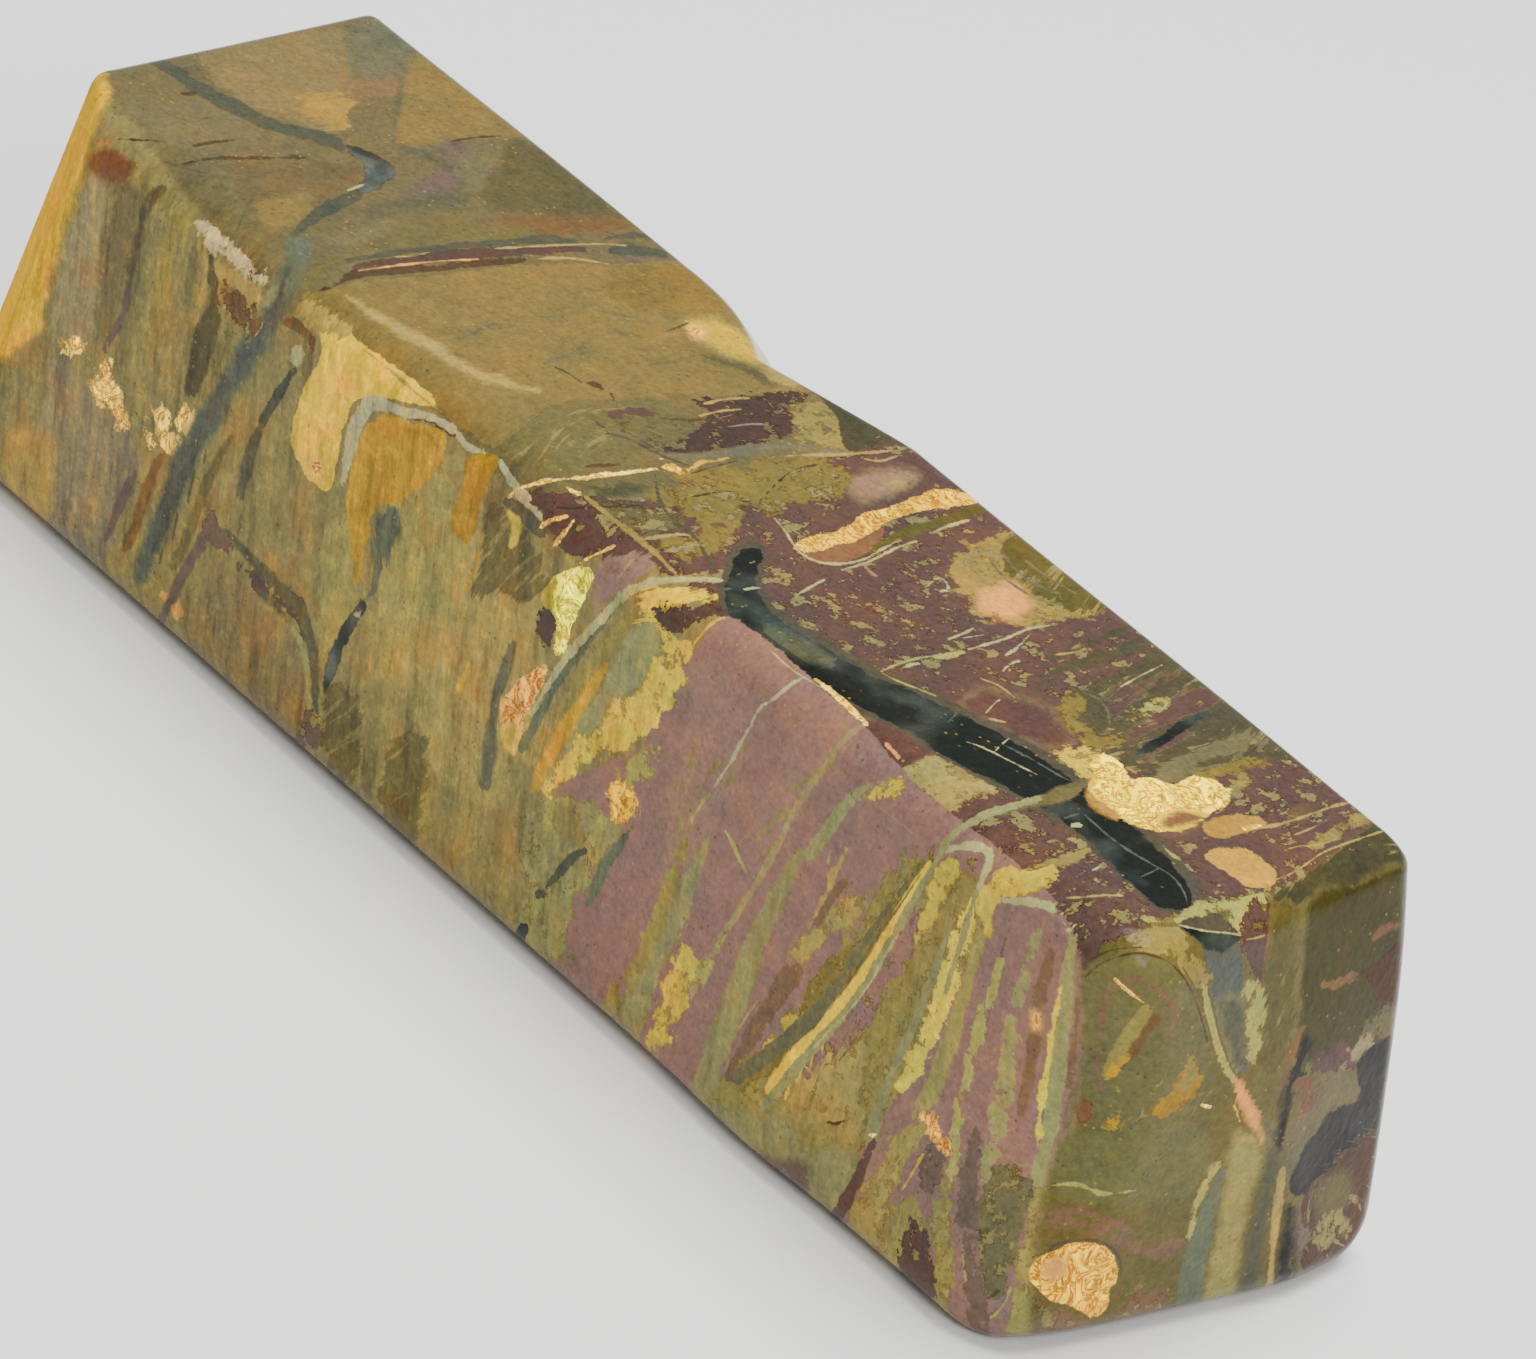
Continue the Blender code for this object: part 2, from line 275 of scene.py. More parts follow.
# The markings, from the ground up. Each has a name, a mineral, an edge, the half-widths of a band along its
# path, or none for a patch, and then its path or outline as x and y, all in pixels of the photograph.
MARKINGS = (
    ("top ground", "drab", "soft", (), (20,60, 200,0, 420,-30, 700,150, 860,420, 560,500, 420,400, 300,300,
     200,215, 110,120)),
    ("light field", "light tan", "soft", (), (205,50, 300,30, 345,35, 352,80, 350,100, 362,112, 345,128,
     322,131, 298,126, 262,112, 235,95, 212,78)),
    ("bright streaks", "pale ochre", "smear", (), (300,98, 340,94, 364,108, 350,118, 345,130, 318,124)),
    ("grey-green patch", "green grey", "soft", (), (350,30, 400,20, 425,58, 408,76, 365,79, 352,70)),
    ("its dark edge", "olive shade", "soft", (3, 4, 3, 2), (349,45, 358,60, 352,78, 343,92)),
    ("pinkish band", "pink tan", "soft", (), (352,82, 405,79, 403,98, 372,99, 350,93)),
    ("lower tan patch", "drab", "clean", (), (368,100, 400,100, 396,138, 360,134, 348,112)),
    ("grey upright", "olive grey", "soft", (4, 5, 4, 3), (404,78, 401,98, 396,118, 393,142)),
    ("right tan field", "tan", "soft", (), (408,62, 430,50, 490,80, 550,132, 500,139, 400,142, 404,100)),
    ("grey patch under the vein", "drab brown", "soft", (), (110,112, 150,105, 200,100, 240,118, 262,134,
     225,140, 160,150, 118,140)),
    ("tan pool", "tan brown", "soft", (), (225,165, 290,160, 345,168, 345,192, 318,208, 296,228, 262,225,
     240,190)),
    ("ochre pool", "tan", "soft", (), (255,205, 290,195, 315,200, 296,225, 270,230)),
    ("brown wash", "drab brown", "soft", (), (180,215, 225,225, 285,250, 280,300, 240,280, 205,240)),
    ("rust spot in the loop", "rust tan", "soft", (), (343,172, 352,168, 360,175, 352,183)),
    ("dull purple diagonal", "dull purple", "soft", (), (398,202, 420,180, 440,168, 462,162, 484,170,
     460,184, 430,196)),
    ("olive grey line", "olive grey", "soft", (3, 4, 4, 3), (396,146, 430,158, 458,170, 462,188)),
    ("dark olive blob", "olive shade", "clean", (), (463,150, 500,143, 540,134, 506,160, 491,175, 480,191,
     466,189, 455,175, 457,160)),
    ("purple beside the blob", "dull purple", "soft", (), (438,145, 460,140, 476,142, 462,155, 455,163,
     440,156)),
    ("drab right side", "drab olive", "soft", (), (520,140, 640,190, 660,225, 600,214, 560,218, 500,210,
     482,195, 500,165)),
    ("rust tan band", "rust tan", "soft", (), (500,217, 560,214, 640,218, 620,230, 590,233, 540,236,
     512,229)),
    ("grey olive band", "olive grey", "soft", (), (372,205, 440,192, 472,195, 452,210, 400,216, 372,226)),
    ("olive tan band", "olive tan", "soft", (), (380,245, 400,226, 440,213, 480,223, 520,226, 540,238,
     480,241, 430,243, 385,253, 340,268, 318,285, 312,270, 340,250)),
    ("rust brown corner", "drab brown", "soft", (), (345,235, 372,221, 398,222, 372,240, 345,250, 332,243)),
    ("grey-blue vein", "slate", "clean", (5, 6, 7, 7, 6, 6, 7, 8, 9), (150,55, 180,75, 205,92, 232,106,
     262,121, 300,132, 332,142, 350,149, 360,158)),
    ("wide bend of the vein", "dark slate", "clean", (), (346,143, 365,150, 382,157, 396,170, 386,184,
     368,193, 355,200, 346,196, 358,186, 366,176, 362,162, 352,155)),
    ("vein back to the ridge", "slate", "clean", (6, 6, 6, 5, 5), (362,192, 341,202, 322,212, 305,224,
     293,238)),
    ("faded pool of the vein", "slate green", "soft", (), (286,240, 303,236, 312,250, 306,270, 299,288,
     282,282, 285,262)),
    ("purple line", "purple red", "clean", (3, 5, 6, 6, 5, 5, 4, 2), (352,267, 400,261, 440,256, 480,253,
     520,251, 550,249, 572,249, 590,250)),
    ("blue-grey line", "slate", "clean", (1.5, 3, 3, 3, 4, 4, 3), (345,261, 380,255, 420,250, 460,246,
     500,243, 540,240, 578,241)),
    ("brown line", "brown", "torn", (2, 4, 5, 5, 5, 5, 4, 1.5), (314,296, 340,283, 362,274, 400,271,
     440,267, 480,264, 515,261, 532,258)),
    ("second blue line", "slate", "clean", (2.5, 3, 3), (602,239, 632,236, 660,234)),
    ("slate blobs", "slate", "clean", (4, 6, 5, 3), (608,251, 622,249, 642,251, 668,256)),
    ("second purple line", "dull purple", "clean", (3, 3, 4), (622,260, 650,258, 690,262)),
    ("second brown line", "brown", "torn", (1.5, 2.5, 2.5), (616,266, 650,267, 685,265)),
    ("tan field", "tan", "clean", (), (302,298, 330,288, 362,281, 440,275, 520,266, 620,264, 700,266,
     780,330, 815,388, 760,395, 700,400, 640,420, 600,440, 560,458, 530,470, 500,452, 440,412, 380,372,
     330,322)),
    ("rusty corner of it", "rust ochre", "soft", (), (620,272, 690,268, 735,300, 680,312, 610,300)),
    ("olive lower part", "olive shadow", "smear", (), (545,405, 600,398, 690,396, 720,398, 690,412, 640,425,
     620,440, 650,462, 590,470, 530,472, 500,450, 520,428)),
    ("cream streak", "pale tan", "soft", (2, 3, 5, 5, 5, 4, 3, 1), (345,295, 370,312, 400,330, 430,345,
     455,362, 490,378, 520,388, 542,392)),
    ("yellow lens", "pale yellow", "soft", (), (686,318, 715,317, 732,325, 750,337, 764,352, 766,364,
     742,362, 715,350, 700,340, 688,330)),
    ("peach end of the lens", "peach", "soft", (), (690,326, 706,330, 702,338, 692,336)),
    ("green shade under the lens", "drab olive", "soft", (2, 4, 5, 4), (700,355, 740,367, 770,381,
     800,392)),
    ("yellow rim of the hollow", "ochre", "soft", (), (762,352, 780,362, 800,385, 785,388, 768,376)),
    ("purple with pale lines", "dark purple", "torn", (), (695,402, 740,398, 810,396, 800,412, 790,432,
     770,440, 740,448, 700,455, 658,452, 664,446, 682,436, 702,422, 712,412)),
    ("purple worms", "brown purple", "clean", (), (610,410, 638,407, 656,413, 644,419, 612,418)),
    ("olive triangle", "olive tan", "torn", (), (617,421, 652,417, 704,418, 692,432, 664,446, 640,436)),
    ("green grey below", "green grey", "smear", (2, 4, 4, 3, 3, 2), (655,455, 700,457, 740,450, 790,446,
     840,450, 880,453)),
    ("olive right of the purple", "yellow olive", "torn", (), (786,406, 812,400, 832,408, 850,430, 846,448,
     800,446, 796,425)),
    # Painted shade: dark olive laid where the hollow in the top back edge turns away from the light.
    ("dark hollow", "hollow olive", "clean", (), (812,390, 850,400, 900,425, 930,450, 882,452, 850,452,
     842,440, 838,420, 826,404)),
    ("near purple", "purple", "torn", (), (520,500, 560,492, 600,498, 640,500, 700,472, 790,470, 850,455,
     930,448, 1130,590, 1290,720, 1440,810, 1430,850, 1300,880, 1240,905, 1150,930, 1060,945, 1000,900,
     905,790, 860,725, 700,600, 640,562, 600,560, 556,540)),
    ("red purple patch", "red purple", "soft", (), (860,725, 905,715, 950,750, 925,762, 890,775, 850,760)),
    ("rosy patch", "red purple", "soft", (), (985,690, 1040,705, 1075,740, 1040,745, 1000,730, 960,705)),
    ("pink purple ridge", "rose purple", "smear", (), (596,568, 625,552, 655,562, 640,580, 612,594, 596,612,
     582,600)),
    ("olive leaf", "leaf olive", "torn", (), (688,472, 740,462, 800,459, 838,467, 848,480, 836,500, 800,500,
     788,507, 770,515, 755,505, 738,500, 746,513, 737,528, 722,545, 705,546, 700,525, 690,512, 668,505,
     648,500, 640,494, 655,482)),
    ("lower olive leaf", "leaf olive", "torn", (), (662,541, 700,535, 738,533, 724,549, 690,557, 664,552)),
    ("olive slab", "olive tan", "torn", (), (600,505, 640,507, 664,510, 684,521, 662,533, 628,531,
     608,519)),
    ("slate window", "slate olive", "soft", (), (588,486, 620,480, 652,486, 640,496, 605,498)),
    ("left olive strip", "olive tan", "torn", (3, 5, 6, 5), (545,488, 590,480, 640,477, 680,484)),
    ("pink oval", "pink", "soft", (), (850,482, 868,472, 905,468, 920,478, 896,493, 868,502, 852,495)),
    ("heart of the oval", "pale tan", "soft", (), (880,488, 892,478, 908,475, 898,486)),
    ("rust under the gold", "rust pink", "clean", (), (795,547, 830,545, 862,530, 880,518, 884,530, 878,545,
     862,556, 840,563, 812,561)),
    ("golden streak", "bright gold", "clean", (), (793,546, 806,537, 840,530, 866,514, 900,504, 922,494,
     950,489, 980,500, 950,507, 920,511, 890,521, 868,535, 838,546, 805,553)),
    ("olive ribbon", "olive", "smear", (3, 5, 5, 5), (872,550, 905,533, 945,520, 1000,502)),
    ("cream delta", "cream ochre", "torn", (), (953,562, 964,548, 985,540, 1000,531, 1016,520, 1060,545,
     1110,592, 1095,612, 1070,620, 1048,627, 1000,622, 976,621, 966,600, 954,585)),
    ("olive top of the delta", "olive", "smear", (), (1003,540, 1020,525, 1060,548, 1112,595, 1085,612,
     1050,600, 1022,590, 1005,568)),
    ("peach of the delta", "light peach", "soft", (), (998,582, 1012,580, 1035,605, 1010,618, 985,614,
     975,600)),
    ("swirl ground", "olive brown", "smear", (), (1060,700, 1072,688, 1100,678, 1140,660, 1190,640,
     1240,685, 1300,745, 1262,765, 1200,772, 1150,782, 1120,765, 1095,752, 1080,737, 1064,716)),
    ("swirl arm", "olive brown", "smear", (2, 4, 6, 6, 6), (1036,690, 1050,674, 1080,664, 1112,655,
     1160,636)),
    ("thin swirl arm", "olive brown", "smear", (1, 2.5, 3, 3), (1044,660, 1070,652, 1100,640, 1145,618)),
    ("green eye of the swirl", "leaf olive", "torn", (), (1060,702, 1074,690, 1086,700, 1081,718, 1100,734,
     1122,745, 1102,753, 1085,746, 1068,726)),
    ("first purple tongue", "purple", "smear", (), (1106,702, 1118,689, 1140,680, 1165,671, 1200,660,
     1186,674, 1152,685, 1130,700, 1118,716, 1109,712)),
    ("second purple tongue", "purple", "smear", (), (1142,716, 1175,697, 1205,687, 1250,690, 1203,711,
     1175,723, 1150,732, 1134,740, 1128,732)),
    ("third purple tongue", "purple", "smear", (), (1142,747, 1170,735, 1198,724, 1181,739, 1160,753,
     1145,758)),
    ("pale fleck in the swirl", "pale olive", "torn", (), (1130,713, 1150,704, 1168,700, 1152,716,
     1134,723)),
    ("dark dash", "blue black", "clean", (3, 5, 5, 3.5), (1133,757, 1160,741, 1185,724, 1208,713)),
    ("green shade by the gold", "olive shade", "smear", (), (1146,780, 1180,756, 1215,741, 1255,734,
     1262,745, 1230,756, 1200,766, 1170,780)),
    ("yellow strip by the gold", "leaf olive", "torn", (), (1188,776, 1215,765, 1252,757, 1266,763,
     1235,771, 1205,780)),
    ("ragged yellow by the gold", "yellow", "torn", (), (1053,752, 1080,746, 1100,752, 1112,760, 1120,777,
     1100,781, 1078,773, 1062,762)),
    ("ochre crown", "mottled ochre", "torn", (), (900,772, 920,758, 945,754, 966,765, 976,776, 1014,773,
     1002,786, 970,801, 945,811, 930,797, 914,786)),
    ("yellow knot", "bright yellow", "torn", (), (925,832, 936,821, 948,824, 958,829, 945,841, 930,846)),
    ("yellow rib to the vein", "yellow olive", "torn", (6, 6, 5, 3), (1012,884, 1040,869, 1068,859,
     1096,846)),
    ("yellow wash at the corner", "yellow olive", "torn", (), (1308,847, 1320,835, 1340,825, 1366,811,
     1385,808, 1352,830, 1330,841, 1314,851)),
    ("rust fleck", "rust tan", "soft", (), (1288,813, 1312,808, 1306,820, 1292,823)),
    ("halo of the black vein", "vein halo", "clean", (14, 20, 23, 24, 26, 27, 26, 24, 24, 26, 28, 28, 28, 28,
     27, 26, 26, 27, 28, 26, 14), (757,546, 746,565, 741,590, 750,614, 771,634, 795,651, 825,667, 860,686,
     890,699, 920,714, 950,731, 980,748, 1005,760, 1030,775, 1055,790, 1080,807, 1102,824, 1127,845,
     1152,868, 1176,890, 1198,902)),
    ("black vein", "blue black", "clean", (8, 13, 16, 18, 19, 19, 18, 17, 18, 20, 22, 22, 22, 22, 20, 19, 19,
     21, 22, 19, 9), (757,550, 746,566, 741,590, 750,614, 771,635, 795,652, 825,668, 860,688, 890,701,
     920,716, 950,733, 980,750, 1005,762, 1030,777, 1055,792, 1080,809, 1100,826, 1124,847, 1148,870,
     1170,891, 1188,903)),
    ("green start of the vein", "vein green", "soft", (6, 9, 9, 7), (765,628, 790,645, 812,655, 832,666)),
    ("yellow bridge over the vein", "olive tan", "smear", (2, 4, 8, 6), (1000,815, 1030,803, 1060,795,
     1087,782)),
    ("gold nodule", "gold", "clean", (), (1086,786, 1094,776, 1090,762, 1104,753, 1120,760, 1130,779,
     1146,777, 1164,782, 1176,785, 1196,777, 1220,784, 1230,795, 1226,806, 1206,816, 1190,828, 1166,831,
     1146,829, 1130,822, 1110,812, 1095,802)),
    ("orange rim of the gold", "amber", "soft", (2, 5, 5, 3), (1090,779, 1090,795, 1102,808, 1120,817)),
    ("pink foot of the gold", "rust pink", "soft", (), (1162,812, 1190,811, 1204,817, 1184,829, 1162,828)),
    ("tail of the gold", "yellow olive", "torn", (), (1226,787, 1248,777, 1244,789, 1230,798)),
    ("first amber nodule", "amber", "clean", (), (1204,822, 1225,816, 1250,815, 1263,820, 1262,828,
     1245,833, 1225,838, 1207,836)),
    ("second amber nodule", "light amber", "clean", (), (1205,856, 1220,847, 1240,848, 1260,857, 1275,870,
     1276,882, 1262,888, 1245,885, 1228,873, 1213,865)),
    ("front ground", "olive drab", "soft", (), (104,100, 200,218, 270,302, 300,325, 340,345, 440,418,
     520,498, 560,555, 600,640, 600,1100, -60,620, -60,60)),
    ("sunny middle of the front", "mottled ochre", "soft", (), (388,470, 440,505, 500,545, 545,610, 540,690,
     505,790, 455,800, 420,745, 392,660, 372,560)),
    ("its glow under the ridge", "ochre", "soft", (6, 14, 16, 8), (470,560, 492,620, 480,700, 462,760)),
    # The far corner facet: real ochre and yellow, painted brighter than elsewhere as painted light on that
    # facet.
    ("yellow corner", "corner ochre", "soft", (), (92,60, 108,92, 101,118, 92,145, 84,172, 74,200, 62,238,
     52,275, 46,310, 38,335, -40,360, -40,150, 50,80)),
    ("bright strip of it", "corner yellow", "soft", (4, 6, 7, 6, 3), (84,128, 74,155, 62,185, 48,222,
     34,260)),
    ("grey strip", "grey tan", "soft", (), (84,175, 112,182, 108,240, 96,330, 70,350, 46,332, 55,275,
     70,225)),
    ("brown strip", "drab brown", "soft", (), (112,182, 142,190, 136,240, 128,290, 112,346, 94,345,
     101,260)),
    ("red spot", "rust", "soft", (), (87,166, 96,151, 115,148, 131,158, 136,169, 124,182, 100,181)),
    ("cream spot", "light peach", "soft", (), (97,142, 110,139, 109,147, 98,148)),
    ("brown streak", "tan brown", "smear", (6, 6, 4, 4, 3), (164,188, 150,200, 140,225, 133,260, 128,290)),
    ("purple streak", "dull purple", "smear", (3, 4, 4, 2), (129,288, 122,315, 112,335, 101,352)),
    ("olive streaks", "yellow olive", "smear", (4, 9, 10, 8), (178,215, 168,250, 160,300, 150,350)),
    ("olive streaks by the ridge", "drab olive", "smear", (5, 12, 12, 8), (205,235, 215,280, 205,340,
     190,395)),
    ("ochre streak", "ochre", "smear", (2, 4, 5, 4, 2), (198,238, 205,262, 202,290, 196,312, 192,328)),
    ("bright fleck", "pale yellow", "soft", (), (194,290, 205,289, 204,304, 196,306)),
    ("ochre under the ridge", "ochre", "smear", (), (214,262, 245,274, 264,298, 252,312, 236,292, 221,280)),
    ("mauve field", "mauve brown", "soft", (), (52,350, 100,402, 130,430, 142,470, 122,520, 100,565, 20,520,
     40,440)),
    ("grey sheen of it", "grey tan", "soft", (), (40,395, 62,400, 60,440, 48,470, 30,470)),
    ("ochre at the edge", "ochre", "soft", (), (10,430, 46,436, 52,480, 46,520, 10,510)),
    ("small cream blotch", "cream", "torn", (), (54,335, 76,339, 82,353, 62,350)),
    ("long cream blotch", "cream", "torn", (), (97,358, 108,355, 112,375, 121,388, 122,402, 131,420,
     122,429, 112,411, 97,401, 92,386, 100,375)),
    ("wide cream blotch", "cream", "torn", (), (148,414, 164,405, 172,419, 185,404, 197,415, 192,431,
     180,449, 164,451, 147,442, 152,428)),
    ("thin purple streak", "dull purple", "smear", (2, 5, 5, 2), (138,468, 127,490, 116,515, 104,542)),
    ("rust strip", "rust tan", "smear", (4, 7, 7, 4), (164,452, 152,480, 141,512, 124,552)),
    ("tan strip", "olive tan", "smear", (3, 6, 6, 5), (232,435, 208,480, 194,520, 172,570)),
    ("purple fringe", "dull purple", "smear", (4, 6, 6, 4), (214,508, 200,545, 180,580, 160,625)),
    ("pale end of the fringe", "light peach", "smear", (3, 6, 5), (160,592, 172,602, 178,618)),
    ("brown lens", "brown ochre", "clean", (), (214,560, 240,580, 262,606, 284,624, 300,650, 306,690,
     302,722, 290,760, 190,680, 185,650, 196,600)),
    ("dark rim of the lens", "brown purple", "torn", (4, 9, 10, 8, 4), (238,560, 262,582, 284,598, 300,616,
     308,645)),
    ("slate in the rim", "olive grey", "soft", (2, 4, 3), (258,590, 270,600, 288,618)),
    ("olive rim", "olive grey", "smear", (3, 6, 6, 6, 5, 4), (222,528, 262,570, 300,610, 313,650, 315,700,
     320,730)),
    ("pale rim", "sage", "clean", (1.5, 2.5, 2.5, 2.5, 2.5), (288,622, 300,640, 307,665, 309,695, 310,715)),
    ("purple knot under the lens", "dull purple", "torn", (), (300,722, 316,710, 322,730, 314,745,
     296,755)),
    ("purple knot above the lens", "dull purple", "torn", (), (206,512, 218,512, 224,530, 230,545, 216,548,
     206,540)),
    ("vein on the front face", "slate green", "soft", (9, 13, 15, 15, 15, 14, 11), (289,262, 283,292,
     266,326, 246,358, 222,400, 190,450, 162,520, 140,580)),
    ("blue core of that vein", "blue grey", "soft", (5, 6, 8, 8, 8, 6, 4), (286,268, 280,295, 262,330,
     243,362, 218,405, 186,455, 160,520, 142,570)),
    ("dark half of that vein", "dark slate", "soft", (3, 6, 7, 6, 3), (206,425, 190,452, 175,488, 160,525,
     150,560)),
    # Painted highlights: two pale sage patches where the vein crosses the rounded ridge and the ridge gives
    # back the light.
    ("first scuff of the vein", "pale sage", "soft", (3, 7, 4), (286,280, 277,293, 268,308)),
    ("second scuff of the vein", "pale sage", "soft", (3, 7, 3), (270,318, 262,327, 254,338)),
    ("branch vein", "slate", "clean", (4, 5, 5, 5, 4), (300,362, 289,378, 278,396, 268,412, 260,428)),
    ("faded branch", "olive grey", "smear", (4, 6, 7, 4), (262,424, 252,448, 246,470, 240,500)),
    ("rust by the ridge", "rust tan", "torn", (3, 4, 4, 3), (284,322, 302,328, 313,343, 306,364)),
    # Painted highlights: a pale patch along the rounded ridge where it gives back the light.
    ("upper scuffs of the ridge", "scuff", "torn", (), (196,222, 214,226, 232,246, 250,262, 264,278,
     254,284, 236,266, 218,252, 204,240)),
    ("lower scuffs of the ridge", "rust tan", "torn", (), (220,283, 245,300, 264,322, 252,336, 228,310)),
    ("scuff of the branch", "pale sage", "clean", (), (294,346, 307,350, 300,368, 290,362)),
    ("bright yellow field", "bright yellow", "clean", (), (318,318, 340,326, 362,343, 400,370, 440,405,
     402,402, 376,397, 356,401, 343,430, 336,470, 328,492, 308,478, 290,442, 298,402, 312,372, 322,350)),
    ("ochre edge of the field", "ochre", "smear", (), (300,302, 330,312, 350,330, 330,335, 312,330)),
    ("orange fleck in it", "peach", "soft", (), (310,460, 324,463, 322,477, 312,475)),
    ("orange panel", "orange", "clean", (), (362,432, 374,420, 388,413, 404,420, 432,426, 446,436, 444,456,
     434,474, 426,508, 414,540, 402,512, 386,504, 372,516, 362,560, 352,545, 346,505, 350,472)),
    ("deep orange corner", "deep orange", "soft", (3, 6, 5), (402,428, 425,434, 438,446)),
    ("purple lip of the panel", "brown purple", "torn", (1.5, 3, 3, 2), (408,420, 428,420, 444,427,
     455,437)),
    ("pale ribbon", "pale blue grey", "clean", (3, 5, 7, 8, 7, 5, 5, 4, 3), (342,486, 347,458, 353,435,
     361,416, 374,402, 390,407, 408,413, 434,418, 456,432)),
    ("lower pale ribbon", "pale blue grey", "clean", (3, 4, 4, 4, 5, 5), (456,432, 472,450, 492,456,
     508,474, 520,492, 540,520)),
    ("light olive panel", "light olive", "smear", (), (396,506, 428,478, 446,458, 462,452, 462,480, 450,520,
     456,600, 430,640, 405,620, 392,580)),
    ("light olive lower", "light olive", "smear", (), (330,520, 352,540, 362,580, 350,640, 320,640,
     316,580)),
    ("second orange streak", "deep orange", "clean", (), (468,459, 492,454, 497,464, 487,488, 479,510,
     471,541, 455,537, 452,512, 463,484)),
    ("tail of the streak", "orange", "smear", (2.5, 4, 2), (484,528, 478,560, 466,592)),
    ("orange trickle", "orange", "smear", (2, 5, 5, 2), (350,498, 354,530, 358,560, 356,588)),
    ("slate blotch", "slate green", "smear", (), (392,507, 400,520, 393,545, 381,568, 371,556, 378,525)),
    ("slate drip", "slate green", "clean", (4, 4, 3, 3), (381,560, 376,575, 374,588, 368,598)),
    ("slate worm", "dark slate", "clean", (4, 6, 6, 6, 5, 3), (364,602, 354,618, 342,640, 334,660, 328,680,
     324,696)),
    ("pale gap in the worm", "pale blue grey", "soft", (2, 3), (352,613, 360,616)),
    ("dark olive wash", "olive shadow", "smear", (), (488,512, 505,508, 530,540, 548,585, 522,602, 500,592,
     470,596, 478,560)),
    ("grey stripe at the ridge", "olive grey", "clean", (4, 7, 6), (503,500, 522,512, 545,536)),
    ("yellow comma", "yellow", "smear", (2, 4, 3), (506,510, 517,524, 511,548)),
    ("sage streak", "green grey", "smear", (4, 7, 8, 6), (514,640, 500,690, 492,740, 484,790)),
    ("pale flame", "pale yellow", "smear", (2, 4, 3), (470,660, 462,680, 458,695)),
    ("shade low on the front", "olive shadow", "smear", (), (392,740, 420,730, 425,790, 410,845, 385,820,
     380,780)),
    ("shade by the lens", "olive shadow", "smear", (), (322,700, 350,690, 362,740, 352,800, 330,790)),
    ("peach leaf", "peach", "clean", (), (547,664, 541,690, 528,712, 523,730, 516,757, 508,751, 500,736,
     500,706, 510,690, 526,675)),
    ("yellow foot of the leaf", "yellow", "soft", (), (502,724, 518,728, 514,754, 506,750, 500,736)),
    ("lemon leaf", "lemon", "clean", (), (563,572, 590,567, 591,580, 582,602, 573,622, 563,652, 553,650,
     558,622, 545,597, 552,580)),
    ("glow of the lemon leaf", "pale yellow", "smear", (3, 6, 5), (556,580, 546,602, 560,640)),
    ("rust patch by it", "brown purple", "torn", (), (540,611, 552,615, 556,630, 549,641, 537,634)),
    ("front purple", "front purple", "clean", (), (548,796, 600,766, 640,745, 668,702, 692,655, 722,618,
     770,642, 860,722, 920,788, 1000,850, 1060,905, 1095,950, 1080,1100, 1040,1200, 1030,1390, 540,1010,
     565,900, 592,860, 590,805)),
    ("yellow ground of the ribs", "yellow olive", "torn", (), (905,858, 958,872, 998,884, 985,930, 962,975,
     938,1030, 905,1092, 868,1145, 820,1165, 760,1140, 700,1110, 712,1085, 770,1035, 815,985, 855,925)),
    ("purple left among the ribs", "front purple", "torn", (), (880,930, 905,905, 925,915, 905,960,
     880,1000, 850,1050, 815,1080, 800,1072, 835,1010)),
    ("rosy light of it", "rose purple", "smear", (), (700,660, 740,680, 760,720, 735,790, 690,860, 660,880,
     670,800, 690,720)),
    ("second rosy light", "rose purple", "smear", (), (800,720, 850,745, 810,800, 770,860, 750,840,
     770,780)),
    ("sage panel", "sage", "clean", (), (640,621, 656,625, 660,640, 646,672, 640,686, 620,696, 606,706,
     598,726, 576,746, 560,762, 545,792, 539,786, 555,755, 575,725, 600,690, 614,660, 627,635)),
    ("yellow panel", "yellow green", "torn", (), (655,592, 700,589, 718,598, 692,606, 668,614, 660,624,
     682,641, 692,652, 680,682, 655,726, 630,746, 600,756, 575,771, 545,797, 542,785, 566,752, 584,735,
     600,728, 610,708, 640,688, 650,672, 664,640, 650,620, 636,612)),
    ("yellow top of the panel", "bright yellow", "smear", (), (648,592, 690,590, 708,600, 670,606, 650,614,
     636,618)),
    ("olive rib of the panel", "yellow olive", "clean", (3, 7, 8, 8, 7, 5), (640,605, 620,632, 598,662,
     574,695, 555,728, 540,765)),
    ("orange rib of the panel", "orange", "smear", (3, 6, 7, 8, 7, 4), (608,662, 590,690, 576,712, 561,736,
     547,760, 533,792)),
    ("slate rib of the panel", "slate green", "clean", (2, 4, 5, 5, 4), (612,612, 585,645, 556,685, 540,715,
     520,752)),
    ("pale rib of the panel", "pale sage", "clean", (2.5, 3.5, 4, 4, 4, 3.5, 3, 2), (725,580, 685,579,
     650,582, 622,596, 602,618, 572,650, 548,685, 530,716)),
    ("brown pocket", "brown purple", "torn", (), (654,612, 680,604, 702,606, 720,608, 706,619, 690,628,
     670,631)),
    ("mottled bay", "mottled olive", "torn", (), (532,800, 560,797, 590,800, 606,812, 628,828, 604,852,
     592,880, 572,902, 566,962, 510,960, 528,885, 518,840)),
    ("golden button", "bright gold", "torn", (), (610,785, 626,784, 639,795, 636,811, 626,823, 612,821,
     607,800)),
    ("its yellow-green tail", "pale olive", "torn", (), (628,772, 644,750, 660,744, 666,752, 650,764,
     652,778, 638,785)),
    ("dark worm", "slate", "clean", (3, 5, 5, 2.5), (586,850, 572,858, 560,872, 546,888)),
    ("dark worm's bead", "slate", "clean", (5, 5), (543,891, 538,897)),
    ("dark worm's end", "dark slate", "clean", (5, 6), (526,925, 516,944)),
